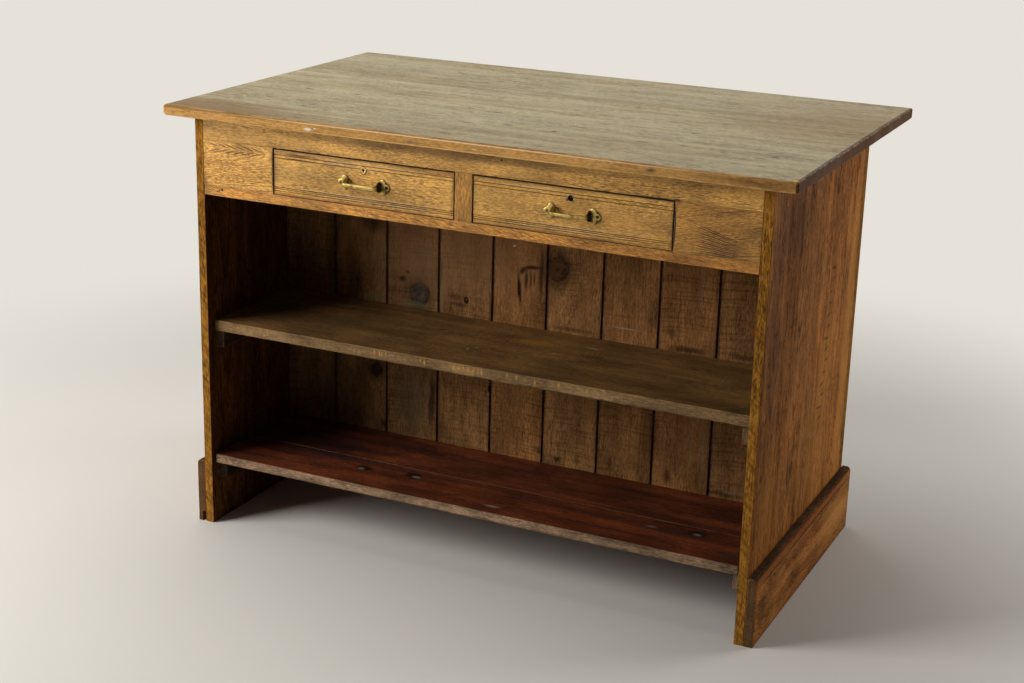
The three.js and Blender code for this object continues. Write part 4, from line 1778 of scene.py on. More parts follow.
@dataclass
class DrawerFront(Board):
    """A drawer front with scratched reeds."""

    reed_width: float = 2 * MM
    reed_depth: float = 1.2 * MM
    reeds: tuple[float, ...] = ()  # the grooves' heights

    def reed_lines(self) -> list[float]:
        """Grid lines over the grooves."""
        shares = (-0.55, -0.5, -0.25, 0.0, 0.25, 0.5, 0.55)
        return [reed + share * self.reed_width for reed in self.reeds for share in shares]

    def shaped(self, flat: Array) -> Array:
        """The front's surface, with its arrises rounded and its grooves cut in.

        Args:
            flat: places on the board with sharp arrises.

        Returns:
            The same places on the reeded front.
        """
        points = super().shaped(flat)
        face = np.abs(flat[:, 1] - self.corners()[0][1]) < 1e-6
        for reed in self.reeds:
            share = np.clip(1 - 2 * np.abs(flat[:, 2] - reed) / self.reed_width, 0, 1)
            points[:, 1] += np.where(face, self.reed_depth * share, 0.0)
        return points

    def dress(self, mesh: Mesh) -> None:
        """Stores what the finishes read, the dirt in the grooves, and painted shade along the front's edges.

        Args:
            mesh: the front's mesh.
        """
        super().dress(mesh)
        places = places_of(mesh)
        low, high = self.corners()
        near = np.min([np.abs(places[:, 2] - reed) for reed in self.reeds], axis=0)
        in_groove = smooth_share(-near, -0.45 * self.reed_width, 0.0)
        worn = 0.5 + 0.5 * Noise(seed_of(self.node) + 1).at(places, (14, 1, 60))
        dirt = np.where(places[:, 1] < low[1] + 2 * MM, in_groove * (0.35 + 0.65 * worn), 0.0)
        # Painted shade along the front's edges, where the gaps round the drawer are.
        from_edge = np.clip(np.minimum(places - low, high - places), 0, None)[:, ::2].min(axis=1)
        edge = smooth_share(-from_edge, -2.6 * MM, -0.6 * MM)
        write_attributes(mesh, dirt=np.clip(dirt + 0.6 * edge, 0, 1))


@dataclass
class Keyhole:
    """A keyhole's outline: a round hole with a slot under it, in metres."""

    radius: float = 2.8 * MM
    slot_width: float = 2.6 * MM
    slot_length: float = 5.2 * MM

    def reach(self, turn: float) -> float:
        """How far the outline lies from the round part's middle, in one direction.

        Args:
            turn: the direction, in radians.

        Returns:
            The distance.
        """
        across, down = abs(math.cos(turn)), -math.sin(turn)
        if down <= 0:
            return self.radius
        side = self.slot_width / 2 / max(across, 1e-6)
        return max(self.radius, min(side, self.slot_length / down)) if side > self.radius else self.radius

    def outline(self, centre: Pair, steps: int) -> list[Pair]:
        """Points round the outline, at even angles.

        Args:
            centre: the round part's middle.
            steps: how many points there are.

        Returns:
            The points.
        """
        turns = [2 * math.pi * i / steps for i in range(steps)]
        polar = [(self.reach(t), t) for t in turns]
        return [(centre[0] + reach * math.cos(t), centre[1] + reach * math.sin(t)) for reach, t in polar]


@dataclass
class Pull:
    """A cast brass bar pull on two lobed plates, with a screw in each plate.

    Places on it are read along the drawer, out from its face and up, from the pull's middle.
    """

    side: str
    bar_height: float
    bow: float  # how far the bar bows out
    reeds: int = 0  # how many run along the bar
    plate_radius: float = 10.6 * MM
    lobe_radius: float = 6.4 * MM
    lobe_reach: float = 9.0 * MM
    plate_thickness: float = 2.5 * MM
    post_spacing: float = 66 * MM
    post_thickness: float = 6 * MM
    post_height: float = 21 * MM
    bar_thickness: float = 4.5 * MM
    bend_radius: float = 4.75 * MM
    section_points: int = 48

    def frame_of(self) -> tuple[float, float, float, float]:
        """The pull's middle along X, the face that it sits on, its height, and how far it stands out.

        Returns:
            The four numbers.
        """
        low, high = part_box(f"{self.side}_drawer_pull")
        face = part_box(f"{self.side}_drawer_front")[0].y
        return (low.x + high.x) / 2, face, (low.z + high.z) / 2, face - low.y - self.bow

    def placed(self, points: Array) -> Array:
        """Places on the pull, in the frame."""
        x, face, z, _ = self.frame_of()
        return np.stack([x + points[:, 0], face - points[:, 1], z + points[:, 2]], axis=1)

    def foot(self) -> float:
        """How far the middle of a post's foot lies from the pull's."""
        return self.post_spacing / 2 + self.post_thickness / 2

    def build(self, brass: Coat, body: str) -> list[Object]:
        """The pull and its two screws.

        Args:
            brass: their finish.
            body: the body that they ride on.

        Returns:
            The finished pieces.
        """
        low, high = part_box(f"{self.side}_drawer_pull")
        middle = (high.x - low.x) / 2 - max(self.outline())
        shape = bmesh.new()
        for mesh in (self.plate(-middle), self.plate(middle), self.bar()):
            shape.from_mesh(closed(mesh))
        whole = bpy.data.meshes.new(f"{self.side}_pull")
        shape.to_mesh(whole)
        shape.free()
        # Painted shade on the posts and at the plates' rims.
        write_attributes(whole, dirt=self.dirt(places_of(whole), middle))
        made = finished(f"{self.side}_brass_pull", shaded(whole, 40), brass, body, f"{self.side}_drawer_pull")
        return [made, self.screws(brass, body, middle + self.lobe_reach)]

    def screws(self, brass: Coat, body: str, reach: float) -> Object:
        """The screws in the plates' outer lobes.

        Args:
            brass: their finish.
            body: the body that they ride on.
            reach: how far they lie from the pull's middle.

        Returns:
            The two of them as one piece.
        """
        seat = self.plate_thickness - 0.1 * MM
        places = self.placed(np.array([(-reach, seat, 0.0), (reach, seat, 0.0)]))
        tree = screw_tree(brass.material, seed=3 if self.side == "left" else 8)
        mesh = tree.applied(f"{self.side}_screws", places, np.tile([0.0, -1.0, 0.0], (2, 1)))
        is_right = places_of(mesh)[:, 0] > self.frame_of()[0]
        write_attributes(mesh, dirt=np.where(is_right, 0.85, 0.45))
        nodes = (f"{self.side}_pull_left_screw", f"{self.side}_pull_right_screw")
        return finished(f"{self.side}_pull_screws", mesh, brass, body, *nodes)

    def outline(self) -> Array:
        """How far a plate's edge lies from its middle, at even angles: a round body with four lobes.

        Returns:
            The distances.
        """
        turns = np.linspace(0, 2 * np.pi, 96, endpoint=False)
        power = 40
        total = np.full(len(turns), self.plate_radius ** power)
        for quarter in range(4):
            off = turns - quarter * np.pi / 2
            inside = self.lobe_radius ** 2 - (self.lobe_reach * np.sin(off)) ** 2
            lobe = self.lobe_reach * np.cos(off) + np.sqrt(np.clip(inside, 0, None))
            total += np.where((inside > 0) & (np.cos(off) > 0), lobe, 0) ** power
        return total ** (1 / power)

    def plate(self, middle: float) -> Mesh:
        """An end plate, bevelled and a little domed.

        Args:
            middle: how far its middle lies from the pull's.

        Returns:
            Its mesh.
        """
        outline = self.outline()
        turns = np.linspace(0, 2 * np.pi, len(outline), endpoint=False)
        profile = (
            (1.0, 0.0), (1.0, 0.4), (0.975, 0.62), (0.93, 0.78), (0.86, 0.86), (0.7, 0.92), (0.4, 1.0),
            (0.05, 1.0),
        )
        levels = []
        for share, height in profile:
            radius = outline * share
            out = np.full(len(turns), height * self.plate_thickness)
            levels.append(np.stack([middle + radius * np.cos(turns), out, radius * np.sin(turns)], axis=1))
        return loft("plate", [self.placed(level) for level in levels])

    def dirt(self, places: Array, middle: float) -> Array:
        """Painted shade: darker round the posts' feet, behind them and at the plates' rims.

        Args:
            places: the vertices' places.
            middle: how far the plates' middles lie from the pull's.

        Returns:
            A share for each place.
        """
        x, face, z, stand_off = self.frame_of()
        along, out, up = np.abs(places[:, 0] - x), face - places[:, 1], places[:, 2] - z
        foot = self.foot()
        on_post = smooth_share(-out, -(stand_off - 3 * MM), -(stand_off - 9 * MM))
        on_post = on_post * (out > self.plate_thickness) * (along < middle)
        behind = smooth_share(along, foot - 1.2 * MM, foot + 0.6 * MM) * on_post
        rim = smooth_share(-out, -1.3 * MM, -0.4 * MM)
        from_foot = np.hypot((along - foot - 2 * MM) / (5 * MM), up / (11 * MM))
        shaded_foot = smooth_share(-from_foot, -1.25, -0.7) * (out < self.plate_thickness + 2 * MM)
        return np.clip(0.85 * behind + 0.6 * rim + 0.6 * shaded_foot, 0, 1)

    def bar(self) -> Mesh:
        """The bar and its two posts, swept along one path."""
        return loft("bar", [self.placed(self.section(*station)) for station in self.path()])

    def path(self) -> list[Triple]:
        """Places along the bar's middle: along, out, and the direction's angle from straight out.

        Returns:
            The stations, from one foot to the other.
        """
        foot, bend_radius = self.foot(), self.bend_radius
        crest = self.frame_of()[3] - self.bar_thickness / 2
        turn_start = crest - bend_radius
        post = [(foot, out, 0.0) for out in np.linspace(self.plate_thickness * 0.5, turn_start, 12)]
        bend = [
            (foot - bend_radius * (1 - math.cos(angle)), turn_start + bend_radius * math.sin(angle), angle)
            for angle in np.radians((15, 30, 45, 60, 75))
        ]
        end = foot - bend_radius
        shares = np.linspace(1, -1, 25)
        bar = [(share * end, crest + self.bow * (1 - share ** 2), math.pi / 2) for share in shares]
        other = [(-along, out, math.pi - angle) for along, out, angle in reversed(post + bend)]
        return post + bend + bar + other

    def section(self, along: float, out: float, angle: float) -> Array:
        """The loop of points round the bar at one station.

        Args:
            along: the station's place along the drawer.
            out: its distance from the face.
            angle: the path's angle there, 0 where it runs straight out.

        Returns:
            The loop's places.
        """
        stand_off = self.frame_of()[3]
        share = np.clip((stand_off - self.bar_thickness - out) / (stand_off - self.bar_thickness), 0, 1)
        fullness = smooth_share(share, 0.08, 0.75)
        half_height = self.bar_height / 2 + (self.post_height - self.bar_height) / 2 * fullness
        on_bar = smooth_share(math.sin(angle), 0.2, 1.0)
        half_thickness = (self.post_thickness + (self.bar_thickness - self.post_thickness) * on_bar) / 2
        turns = np.linspace(0, 2 * np.pi, self.section_points, endpoint=False)
        cosine, sine = np.cos(turns), np.sin(turns)
        power = 2 / 3.2
        side = half_thickness * np.sign(cosine) * np.abs(cosine) ** power
        up = half_height * np.sign(sine) * np.abs(sine) ** power
        if self.reeds:
            wave = 0.5 - 0.5 * np.cos(2 * np.pi * self.reeds * (up / half_height + 1) / 2)
            side = side + np.where(cosine > 0, (wave - 1) * 0.35 * MM * on_bar, 0.0)
        return np.stack([along + side * math.cos(angle), out + side * math.sin(angle), up], axis=1)


@dataclass
class Drawer:
    """A drawer: its reeded front, box, lock, keyhole and pull."""

    side: str
    tone: float  # of the front
    heart: Triple  # where the front's grain lies in the tree
    turn: float  # how far that grain leans
    has_escutcheon: bool
    pull: Pull
    upper_reed_drops: Sequence[float] = (10 * MM, 16.5 * MM)
    lower_reed_rises: Sequence[float] = (8 * MM, 12 * MM, 15.5 * MM)
    keyhole_drop: float = 18.5 * MM
    bare_hole: Pair = (11.5 * MM, 12.5 * MM)
    box_arris: float = 0.7 * MM
    gap: float = 0.3 * MM  # round the lock, the bottom and the plate

    def node(self, part: str) -> str:
        """The name of one of its nodes."""
        return f"{self.side}_drawer_{part}"

    def body(self) -> str:
        """The body that it rides on."""
        return f"{self.side}_drawer"

    def keyhole(self) -> Pair:
        """The middle of the keyhole's round part, along X and Z."""
        low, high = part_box(self.node("lock"))
        return (low.x + high.x) / 2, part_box(self.node("front"))[1].z - self.keyhole_drop

    def build(self, shop: "Finishes") -> list[Object]:
        """All of its pieces.

        Args:
            shop: the island's finishes.

        Returns:
            The finished pieces.
        """
        boards = []
        for part in ("left_side", "right_side"):
            grain = Grain(Axis.Y, Axis.X, 1, (0.3, 0.02, 0.04), 0.5)
            boards.append(ShapedBar(self.node(part), grain, self.box_arris, body=self.body()))
        for part, face in (("back", Axis.Y), ("bottom", Axis.Z)):
            grain = Grain.drawn(self.node(part), Axis.X, face)
            boards.append(Board(self.node(part), grain, self.box_arris, body=self.body()))
        made = [self.front().build(shop.honey_oak), *(board.build(shop.raw_wood) for board in boards)]
        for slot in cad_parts[self.node("lock")].material_slots:
            slot.material = shop.steel.material
        if self.has_escutcheon:
            made.append(self.escutcheon(shop.rubbed_brass))
        return made + self.pull.build(shop.brass, self.body())

    def front(self) -> DrawerFront:
        """The front, ready to build.

        Returns:
            The front's board.
        """
        grain = Grain(Axis.X, Axis.Y, -1, self.heart, self.turn)
        looks = {"tone": self.tone, "figure": 0.3, "body": self.body()}
        board = DrawerFront(self.node("front"), grain, 0.9 * MM, step=9 * MM, **looks)
        low, high = board.corners()
        lower = tuple(low[2] + rise for rise in self.lower_reed_rises)
        board.reeds = lower + tuple(high[2] - drop for drop in self.upper_reed_drops)
        board.lines = {2: board.reed_lines()}
        board.cutters = tuple(self.cutters(low, high))
        return board

    def cutters(self, low: Array, high: Array) -> list[Mesh]:
        """What is cut out of the front.

        Args:
            low: the front's lowest corner.
            high: its highest corner.

        Returns:
            The lock's pocket, the bottom's groove, and the keyhole with its plate's recess if it has one.
        """
        (x, z), gap = self.keyhole(), self.gap
        lock_low, lock_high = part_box(self.node("lock"))
        bottom_low, bottom_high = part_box(self.node("bottom"))
        pocket = oblong((lock_low.x - gap, lock_low.z - gap), (lock_high.x + gap, high[2] + MM))
        groove = oblong((low[0] - MM, bottom_low.z - gap), (high[0] + MM, bottom_high.z + gap))
        made = [
            prism("lock_pocket", pocket, Axis.Y, lock_low.y - gap, high[1] + MM),
            prism("bottom_groove", groove, Axis.Y, bottom_low.y - gap, high[1] + MM),
        ]
        if self.has_escutcheon:
            plate_low, plate_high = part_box("left_keyhole_escutcheon")
            width, height = (plate_high[k] - plate_low[k] + 2 * gap for k in (0, 2))
            recess = oval((x, z), width, height)
            made.append(prism("plate_recess", recess, Axis.Y, low[1] - MM, plate_high.y + gap))
            name, hole = "keyhole", Keyhole().outline((x, z), 96)
        else:
            uneven = zip(oval((x, z), *self.bare_hole, 28), itertools.cycle((1, 0.93, 0.98, 0.9)))
            name = "bare_keyhole"
            hole = [(x + (px - x) * stretch, z + (pz - z) * stretch) for (px, pz), stretch in uneven]
        return [*made, prism(name, hole, Axis.Y, low[1] - MM, lock_low.y)]

    def escutcheon(self, brass: Coat) -> Object:
        """The small oval plate round the keyhole, crowned between its edges.

        Args:
            brass: its finish.

        Returns:
            The finished piece.
        """
        low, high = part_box("left_keyhole_escutcheon")
        x, z = self.keyhole()
        inner = np.array(Keyhole().outline((x, z), 64))
        outer = np.array(oval((x, z), high.x - low.x, high.z - low.z, 64))
        crown = (
            (0.0, 1.0), (0.0, 0.4), (0.08, 0.18), (0.25, 0.04), (0.45, 0.0), (0.65, 0.04), (0.85, 0.16),
            (1.0, 0.4), (1.0, 1.0),
        )
        levels = [
            np.insert(outer + (inner - outer) * share, 1, low.y + sunk * (high.y - low.y), axis=1)
            for share, sunk in crown
        ]
        mesh = shaded(closed(loft("left_keyhole_escutcheon", levels, is_ring=True)), 50)
        return finished("left_keyhole_plate", mesh, brass, self.body(), "left_keyhole_escutcheon")


@dataclass
class Nails:
    """Nail heads in the rails and in the boards behind the shelves, in metres."""

    radius: float = 1.8 * MM
    height: float = 0.9 * MM
    sunk: float = 0.1 * MM

    def build(self, steel: Coat) -> Object:
        """All the carcass's nail heads in one piece.

        Args:
            steel: their finish.

        Returns:
            The finished piece.
        """
        front, back = self.front_places(), self.back_places()
        outward = np.array([(0.0, -1.0, 0.0)] * len(front) + [(0.0, 1.0, 0.0)] * len(back))
        tree = nail_tree(steel.material, self.radius, self.height)
        mesh = tree.applied("nail_heads", np.array(front + back), outward)
        return finished("nail_heads", mesh, steel, CARCASS)

    def front_places(self) -> list[Triple]:
        """Nails that hold the rails, seen from the front."""
        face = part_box("top_rail")[0].y - self.sunk
        return [(x * MM, face, z * MM) for x, z in ((79, 878), (-549, 743.5), (-556, 741))]

    def back_places(self) -> list[Triple]:
        """Nails through the boards into the shelves' back edges and the battens, seen from behind.

        Returns:
            The heads' places.
        """
        draw = np.random.default_rng(12)
        nodes = ("middle_shelf", "bottom_shelf_rear_board", "top_batten", "runner_batten")
        levels = [sum(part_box(node)[k].z for k in (0, 1)) / 2 for node in nodes]
        places = []
        for i in range(2, Partition.COUNT + 1):
            low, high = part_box(f"back_board_{i:02d}")
            for level, share in itertools.product(levels, (0.22, 0.78)):
                x = low.x + (high.x - low.x) * (share + draw.uniform(-0.06, 0.06))
                places.append((x, high.y + self.sunk, level + draw.uniform(-4, 4) * MM))
        return places


# The island's own finishes


def top_marks() -> list[Mark]:
    """Checks, scratches and spots on the top, with painted shade over its front-left corner and the front
    edge's right end, and painted highlights along the front edge's arrises.

    Returns:
        The marks, the lowest one first.
    """
    dark, pale = "#281C10", "#D8CDBB"
    checks = (
        (320, 108, 13), (442, 95, 16), (553, 104, 12), (633, 113, 9), (-410, -248, 13), (-58, -248, 11),
        (124, -235, 10), (303, -235, 14), (542, -257, 13), (564, -235, 9), (177, -113, 15), (-510, -96, 12),
        (-393, -98, 10), (-54, -118, 12), (-330, -232, 9), (-415, -270, 8), (20, -225, 12), (385, -228, 10),
        (470, -247, 9), (-228, 182, 8), (-330, 262, 10), (250, 330, 8), (-120, -105, 9), (360, -102, 9),
    )
    marks = marks_of(*((x, y, 1.25 * reach, 4.6, dark, 0.95, 0.35, x % 9 - 4) for x, y, reach in checks))
    marks += marks_of(
        (585, 300, 1.6, 74, "#6A3A20", 0.6, 0.1), (0, -330, 700, 1.6, dark, 0.35, 0.3),
        (60, -322, 700, 7, "#7A5C38", 0.35, 0.1), (0, -341, 700, 8, "#D2B98C", 0.25, 0.1),
        # (-590, -385) paints the front-left corner darker and more golden: painted shade, where the top shows
        # less sheen.
        (-590, -385, 340, 130, "#7C5C2C", 0.9), (600, 150, 360, 330, "#8C6A3A", 0.6, 0),
    )
    marks += marks_of(
        # (580, 903) paints shade over the right end of the slab's front edge.
        (580, 903, 200, 14, "#5A3818", 0.7, 0), (-322, 899, 11, 4, pale, 0.9, 0.4),
        (-306, 902, 5, 1.8, pale, 0.8, 0.4), (40, 900, 7, 1.6, pale, 0.7, 0.4),
        (390, 902, 16, 7, "#3A3438", 0.85, 0.1), (-95, 900, 14, 5, "#6A5A5A", 0.5),
        plane=Plane.FRONT, level=-408,
    )
    marks += marks_of(
        # The pale lines at 909.8 and 893.8 are painted highlights along the front edge's arrises.
        (0, 913, 640, 1.4, "#8A5424", 0.8, 0.3), (0, 909.8, 640, 1.3, "#EED2A8", 0.85, 0.4),
        (0, 893.8, 640, 1.1, "#E0B468", 0.8, 0.4), plane=Plane.FRONT, level=-408, ragged=False,
    )
    marks += marks_of((0, 903, 600, 30, "#4A2E16", 0.95, 0.93), plane=Plane.SIDE, level=662, ragged=False)
    marks += marks_of((655, -402, 9, 9, "#DEA458", 0.7, 0.3))
    return marks


def apron_marks() -> list[Mark]:
    """Nail holes, chips, smudges and broken lines on the apron and the drawers, with painted shadows under
    the top and round the pulls' plates and the escutcheon, painted shade in the gaps round the drawers, and
    painted highlights along the reeds.

    Returns:
        The marks, the lowest one first.
    """
    dark, red = "#2A170B", "#4A1E0E"
    marks = marks_of(
        # (0, 876) is the painted shadow of the top's overhang on the top rail.
        (0, 876, 640, 11, "#4E3014", 0.5, 0.3), (79, 878, 2.4, 2.4, dark, 0.85, 0.5),
        (-549, 743.5, 3.2, 2.6, dark, 0.95, 0.6), (-560, 740, 2.2, 1.8, dark, 0.9, 0.6),
        (-498, 742, 3, 1.6, dark, 0.7, 0.4), (293, 845, 7, 2.2, "#120A05", 0.95, 0.4),
        (-79, 845.2, 4, 1.6, dark, 0.9, 0.4), (-365, 834, 64, 4.5, red, 0.85, 0.1),
        (-365, 826, 60, 2.4, red, 0.9), (-60, 834, 50, 4.5, red, 0.55, 0.1),
        (-323, 737, 13, 5, dark, 0.5, 0.1), (-395, 755, 30, 4, "#C06A1E", 0.5),
        (-222, 753, 200, 3.5, "#B8651E", 0.4, 0.3), (222, 753, 200, 3.5, "#A8601E", 0.4, 0.3),
        (480, 739, 200, 14, "#5E3214", 0.45, 0),
    )
    # Painted shadows round the pulls' plates and the escutcheon.
    marks += marks_of(
        (-172.6, 793.5, 15.6, 14, "#1E1006", 0.8, 0.8), (270.8, 793.5, 15.6, 14, "#1E1006", 0.8, 0.8),
        (-218.4, 822.6, 8.4, 9.4, "#1E1006", 0.85, 0.8), ragged=False,
    )
    marks += marks_of(
        (350, 795, 120, 56, "#7A4E20", 0.35, 0), (460, 812, 26, 3, dark, 0.35, 0.1),
        (520, 835, 60, 2.2, dark, 0.4, 0.1), (-590, 760, 14, 22, "#6A4220", 0.5, 0.1),
        # (430, 845) paints shade in the gap at the right drawer's top corner.
        (430, 845, 9, 4, "#0A0603", 0.95, 0.5),
    )
    # Painted shade in the gaps at the drawers' outer sides.
    marks += marks_of(
        (426.5, 797, 4, 50, "#080402", 0.95, 0.75), (-426, 797, 3.2, 50, "#0A0603", 0.9, 0.75), ragged=False,
    )
    marks += marks_of(
        # (380, 844) paints shade in the gap over the right drawer, and (-21, 822) in the gap at the left
        # drawer's right side.
        (380, 844, 60, 2.6, "#0A0603", 0.9, 0.5), (216, 826, 3.5, 2.2, "#9A948A", 0.8, 0.4),
        (226, 819, 3.5, 3, dark, 0.9, 0.4), (214, 820, 3, 4, dark, 0.8, 0.4),
        (227, 827, 3, 2, "#8A8478", 0.7, 0.4), (-21, 822, 2, 24, "#0A0603", 0.6, 0.3),
        (-12, 797, 5, 44, "#B8802E", 0.35, 0),
    )
    for i in range(26):
        marks.append(Mark(262 + 6 * i, 830 - i * 5 % 4, 9, 1.2, "#54320F", 0.5 + 0.1 * (i * 3 % 4), 0.1, -34))
    for i, side in itertools.product(range(6), (-1, 1)):
        marks.append(Mark(-466 - 20 * i, 830 + 5.5 * side, 24, 2.0, "#4E2C0C", 0.9, turn=-14 * side))
    # Painted highlights along the reeds.
    reed_highlights = (
        (767.9, -222, 190), (760.6, -180, 160), (833.6, -200, 150), (827.2, -240, 120), (767.9, 240, 150),
        (760.6, 210, 180), (833.6, 150, 100),
    )
    for level, x, half in reed_highlights:
        marks.append(Mark(x, level, half, 0.9, "#B8AC98", 0.5, 0.5, ragged=False))
    for i in range(13):
        left, right = 815 - 5.0 * i, 774 - 1.9 * i
        turn = math.degrees(math.atan2(right - left, 150))
        strength = 0.75 + 0.25 * (i % 2)
        marks.append(Mark(512, (left + right) / 2, 80 - i % 3 * 9, 2.0, "#3C200C", strength, 0.1, turn))
    for i in range(14):
        marks.append(Mark(-300 + 34 * i, 739 + i % 3, 17, 2.2, "#7E3810", 0.8, 0.1, -14))
    return marks


def panel_marks() -> list[Mark]:
    """Darker and lighter stretches of the end panels' outer faces, and a rippled figure.

    Returns:
        The marks, the lowest one first.
    """
    marks = marks_of(
        (-310, 560, 90, 520, "#3A200C", 0.5, 0.1), (-215, 800, 190, 110, "#2E180A", 0.5, 0.1),
        (20, 300, 150, 280, "#B07A3C", 0.3, 0), (215, 400, 60, 560, "#B8803A", 0.5, 0.1),
        (70, 470, 44, 190, "#A87434", 0.45, 0.1), (-290, 250, 60, 160, "#A8702E", 0.3, 0.1),
    )
    for i, y in enumerate((70, 78, 62, 66, 58, 64, 52, 60, 66, 54, 46, 52, 40, 44)):
        tint, reach = ("#3A200E", 30 - i % 3 * 5) if i % 2 == 0 else ("#4A2A12", 22)
        marks.append(Mark(y, 640 - 24 * i, reach, 4.2, tint, 0.8, 0.1, (-9, 7, -4)[i % 3]))
    tips = (
        (-147, 767), (-147, 721), (-144, 675), (-147, 563), (-145, 521), (-142, 400), (-305, 590),
        (-322, 500), (-338, 430), (-345, 290), (150, 190),
    )
    for (y, z), side in itertools.product(tips, (-1, 1)):
        marks.append(Mark(y + side * 7, z + 11, 15, 4.2, "#1E0E05", 0.85, 0.1, side * 58))
    return marks


def plinth_marks() -> list[Mark]:
    """Redder wood over the plinth's groove, and patches under it.

    Returns:
        The marks, the lowest one first.
    """
    return marks_of(
        (-50, 131, 420, 11, "#86481E", 0.5, 0.6), (-50, 119.7, 420, 1.6, "#160A04", 0.9, 0.6),
        (-120, 52, 60, 24, "#2A160A", 0.5), (-330, 60, 40, 60, "#2E1A0C", 0.5),
        (-210, 96, 50, 12, "#B08A50", 0.35), (130, 100, 120, 14, "#B4803C", 0.4),
        (200, 60, 220, 64, "#BE8446", 0.75, 0),
    )


def shelf_marks() -> list[Mark]:
    """Scuffs and scratches on the middle shelf, sawn ticks along its front edge, and painted shade over its
    left part.

    Returns:
        The marks, the lowest one first.
    """
    marks = marks_of(
        (64, -153, 80, 28, "#A87830", 0.5), (181, -132, 24, 6, "#A89A80", 0.55),
        (406, -211, 50, 10, "#8A7450", 0.4), (126, -203, 24, 1.6, "#C4B290", 0.6, 0.2, 12),
        (-40, -261, 5, 4, "#B4A890", 0.6), (-28, -245, 4, 3, "#B4A890", 0.5),
        # (-300, -230) and (-520, -210) paint shade over the shelf's left part.
        (300, -300, 200, 24, "#2E1E0E", 0.4), (-300, -230, 200, 60, "#1C120A", 0.35),
        (560, -345, 30, 22, "#2A1A0C", 0.5), (-520, -210, 230, 170, "#140D07", 0.6, 0),
    )
    front = {"plane": Plane.FRONT, "level": -353}
    ticks = (
        -250, -206, -196, -188, -181, -99, -92, -30, -24, -18, -11, -5, 1, 8, 14, 20, 27, 33, 92, 110, 131,
        150, 199, 262,
    )
    for i, x in enumerate(ticks):
        size, strength = (1.6 + i * 3 % 4 * 0.5, 6 + i * 4 % 5), 0.5 + i * 2 % 5 * 0.08
        marks.append(Mark(x + i * 7 % 5, 444 + i * 5 % 7, *size, "#C08A38", strength, 0.1, **front))
    scuffs = ((588, z, 5, 12, "#B0A088", 0.55) for z in (414, 119))
    marks += marks_of(*scuffs, plane=Plane.FRONT, level=-345)
    marks += marks_of((100, 434.5, 640, 1.8, "#2A1A0E", 0.6, 0.3), **front)
    return marks


def red_shelf_marks() -> list[Mark]:
    """The worn joint line, scuffs and spots on the bottom shelf, and a painted shadow over its left part.

    Returns:
        The marks, the lowest one first.
    """
    marks = marks_of(
        (40, -231, 580, 1.6, "#1A0A04", 0.7, 0.4), (150, -228, 420, 1.6, "#94481C", 0.5, 0.1),
        # (-480, -210) is a painted shadow over the shelf's left part.
        (-480, -210, 280, 190, "#140805", 0.75, 0), (100, -150, 600, 60, "#2A100A", 0.45, 0),
        (-269, -278, 28, 17, "#0C0604", 0.95, 0.4), (-275, -284, 12, 8, "#7A6E62"),
        (-157, -265, 26, 17, "#0E0705", 0.95, 0.4), (-150, -270, 14, 8, "#80766A"),
        (468, -261, 28, 18, "#0E0705", 0.95, 0.4), (470, -264, 12, 8, "#7A7064"),
        (376, -270, 16, 8, "#7A7064", 0.45), (230, -215, 160, 6, "#8A4A1E", 0.5, 0),
        (-60, -290, 130, 7, "#7A3A18", 0.45, 0), (330, -320, 130, 8, "#2A0F08", 0.6, 0),
        (56, -332, 26, 6, "#B0A08A", 0.5), (401, -178, 7, 5, "#120804", 0.8),
        (439, -178, 6, 4, "#120804", 0.8), (250, -300, 120, 20, "#7A3A16", 0.4),
        (-100, -330, 220, 16, "#2A100A", 0.4), (560, -330, 50, 26, "#3A2A20", 0.5),
    )
    marks += marks_of((588, 119, 5, 12, "#B0A088", 0.55), plane=Plane.FRONT, level=-345)
    marks += marks_of(
        (-348, 147, 3.5, 2.5, "#0C0604", 0.95, 0.5), (0, 139.5, 640, 2.0, "#1C0E08", 0.6, 0.3),
        plane=Plane.FRONT, level=-363,
    )
    return marks


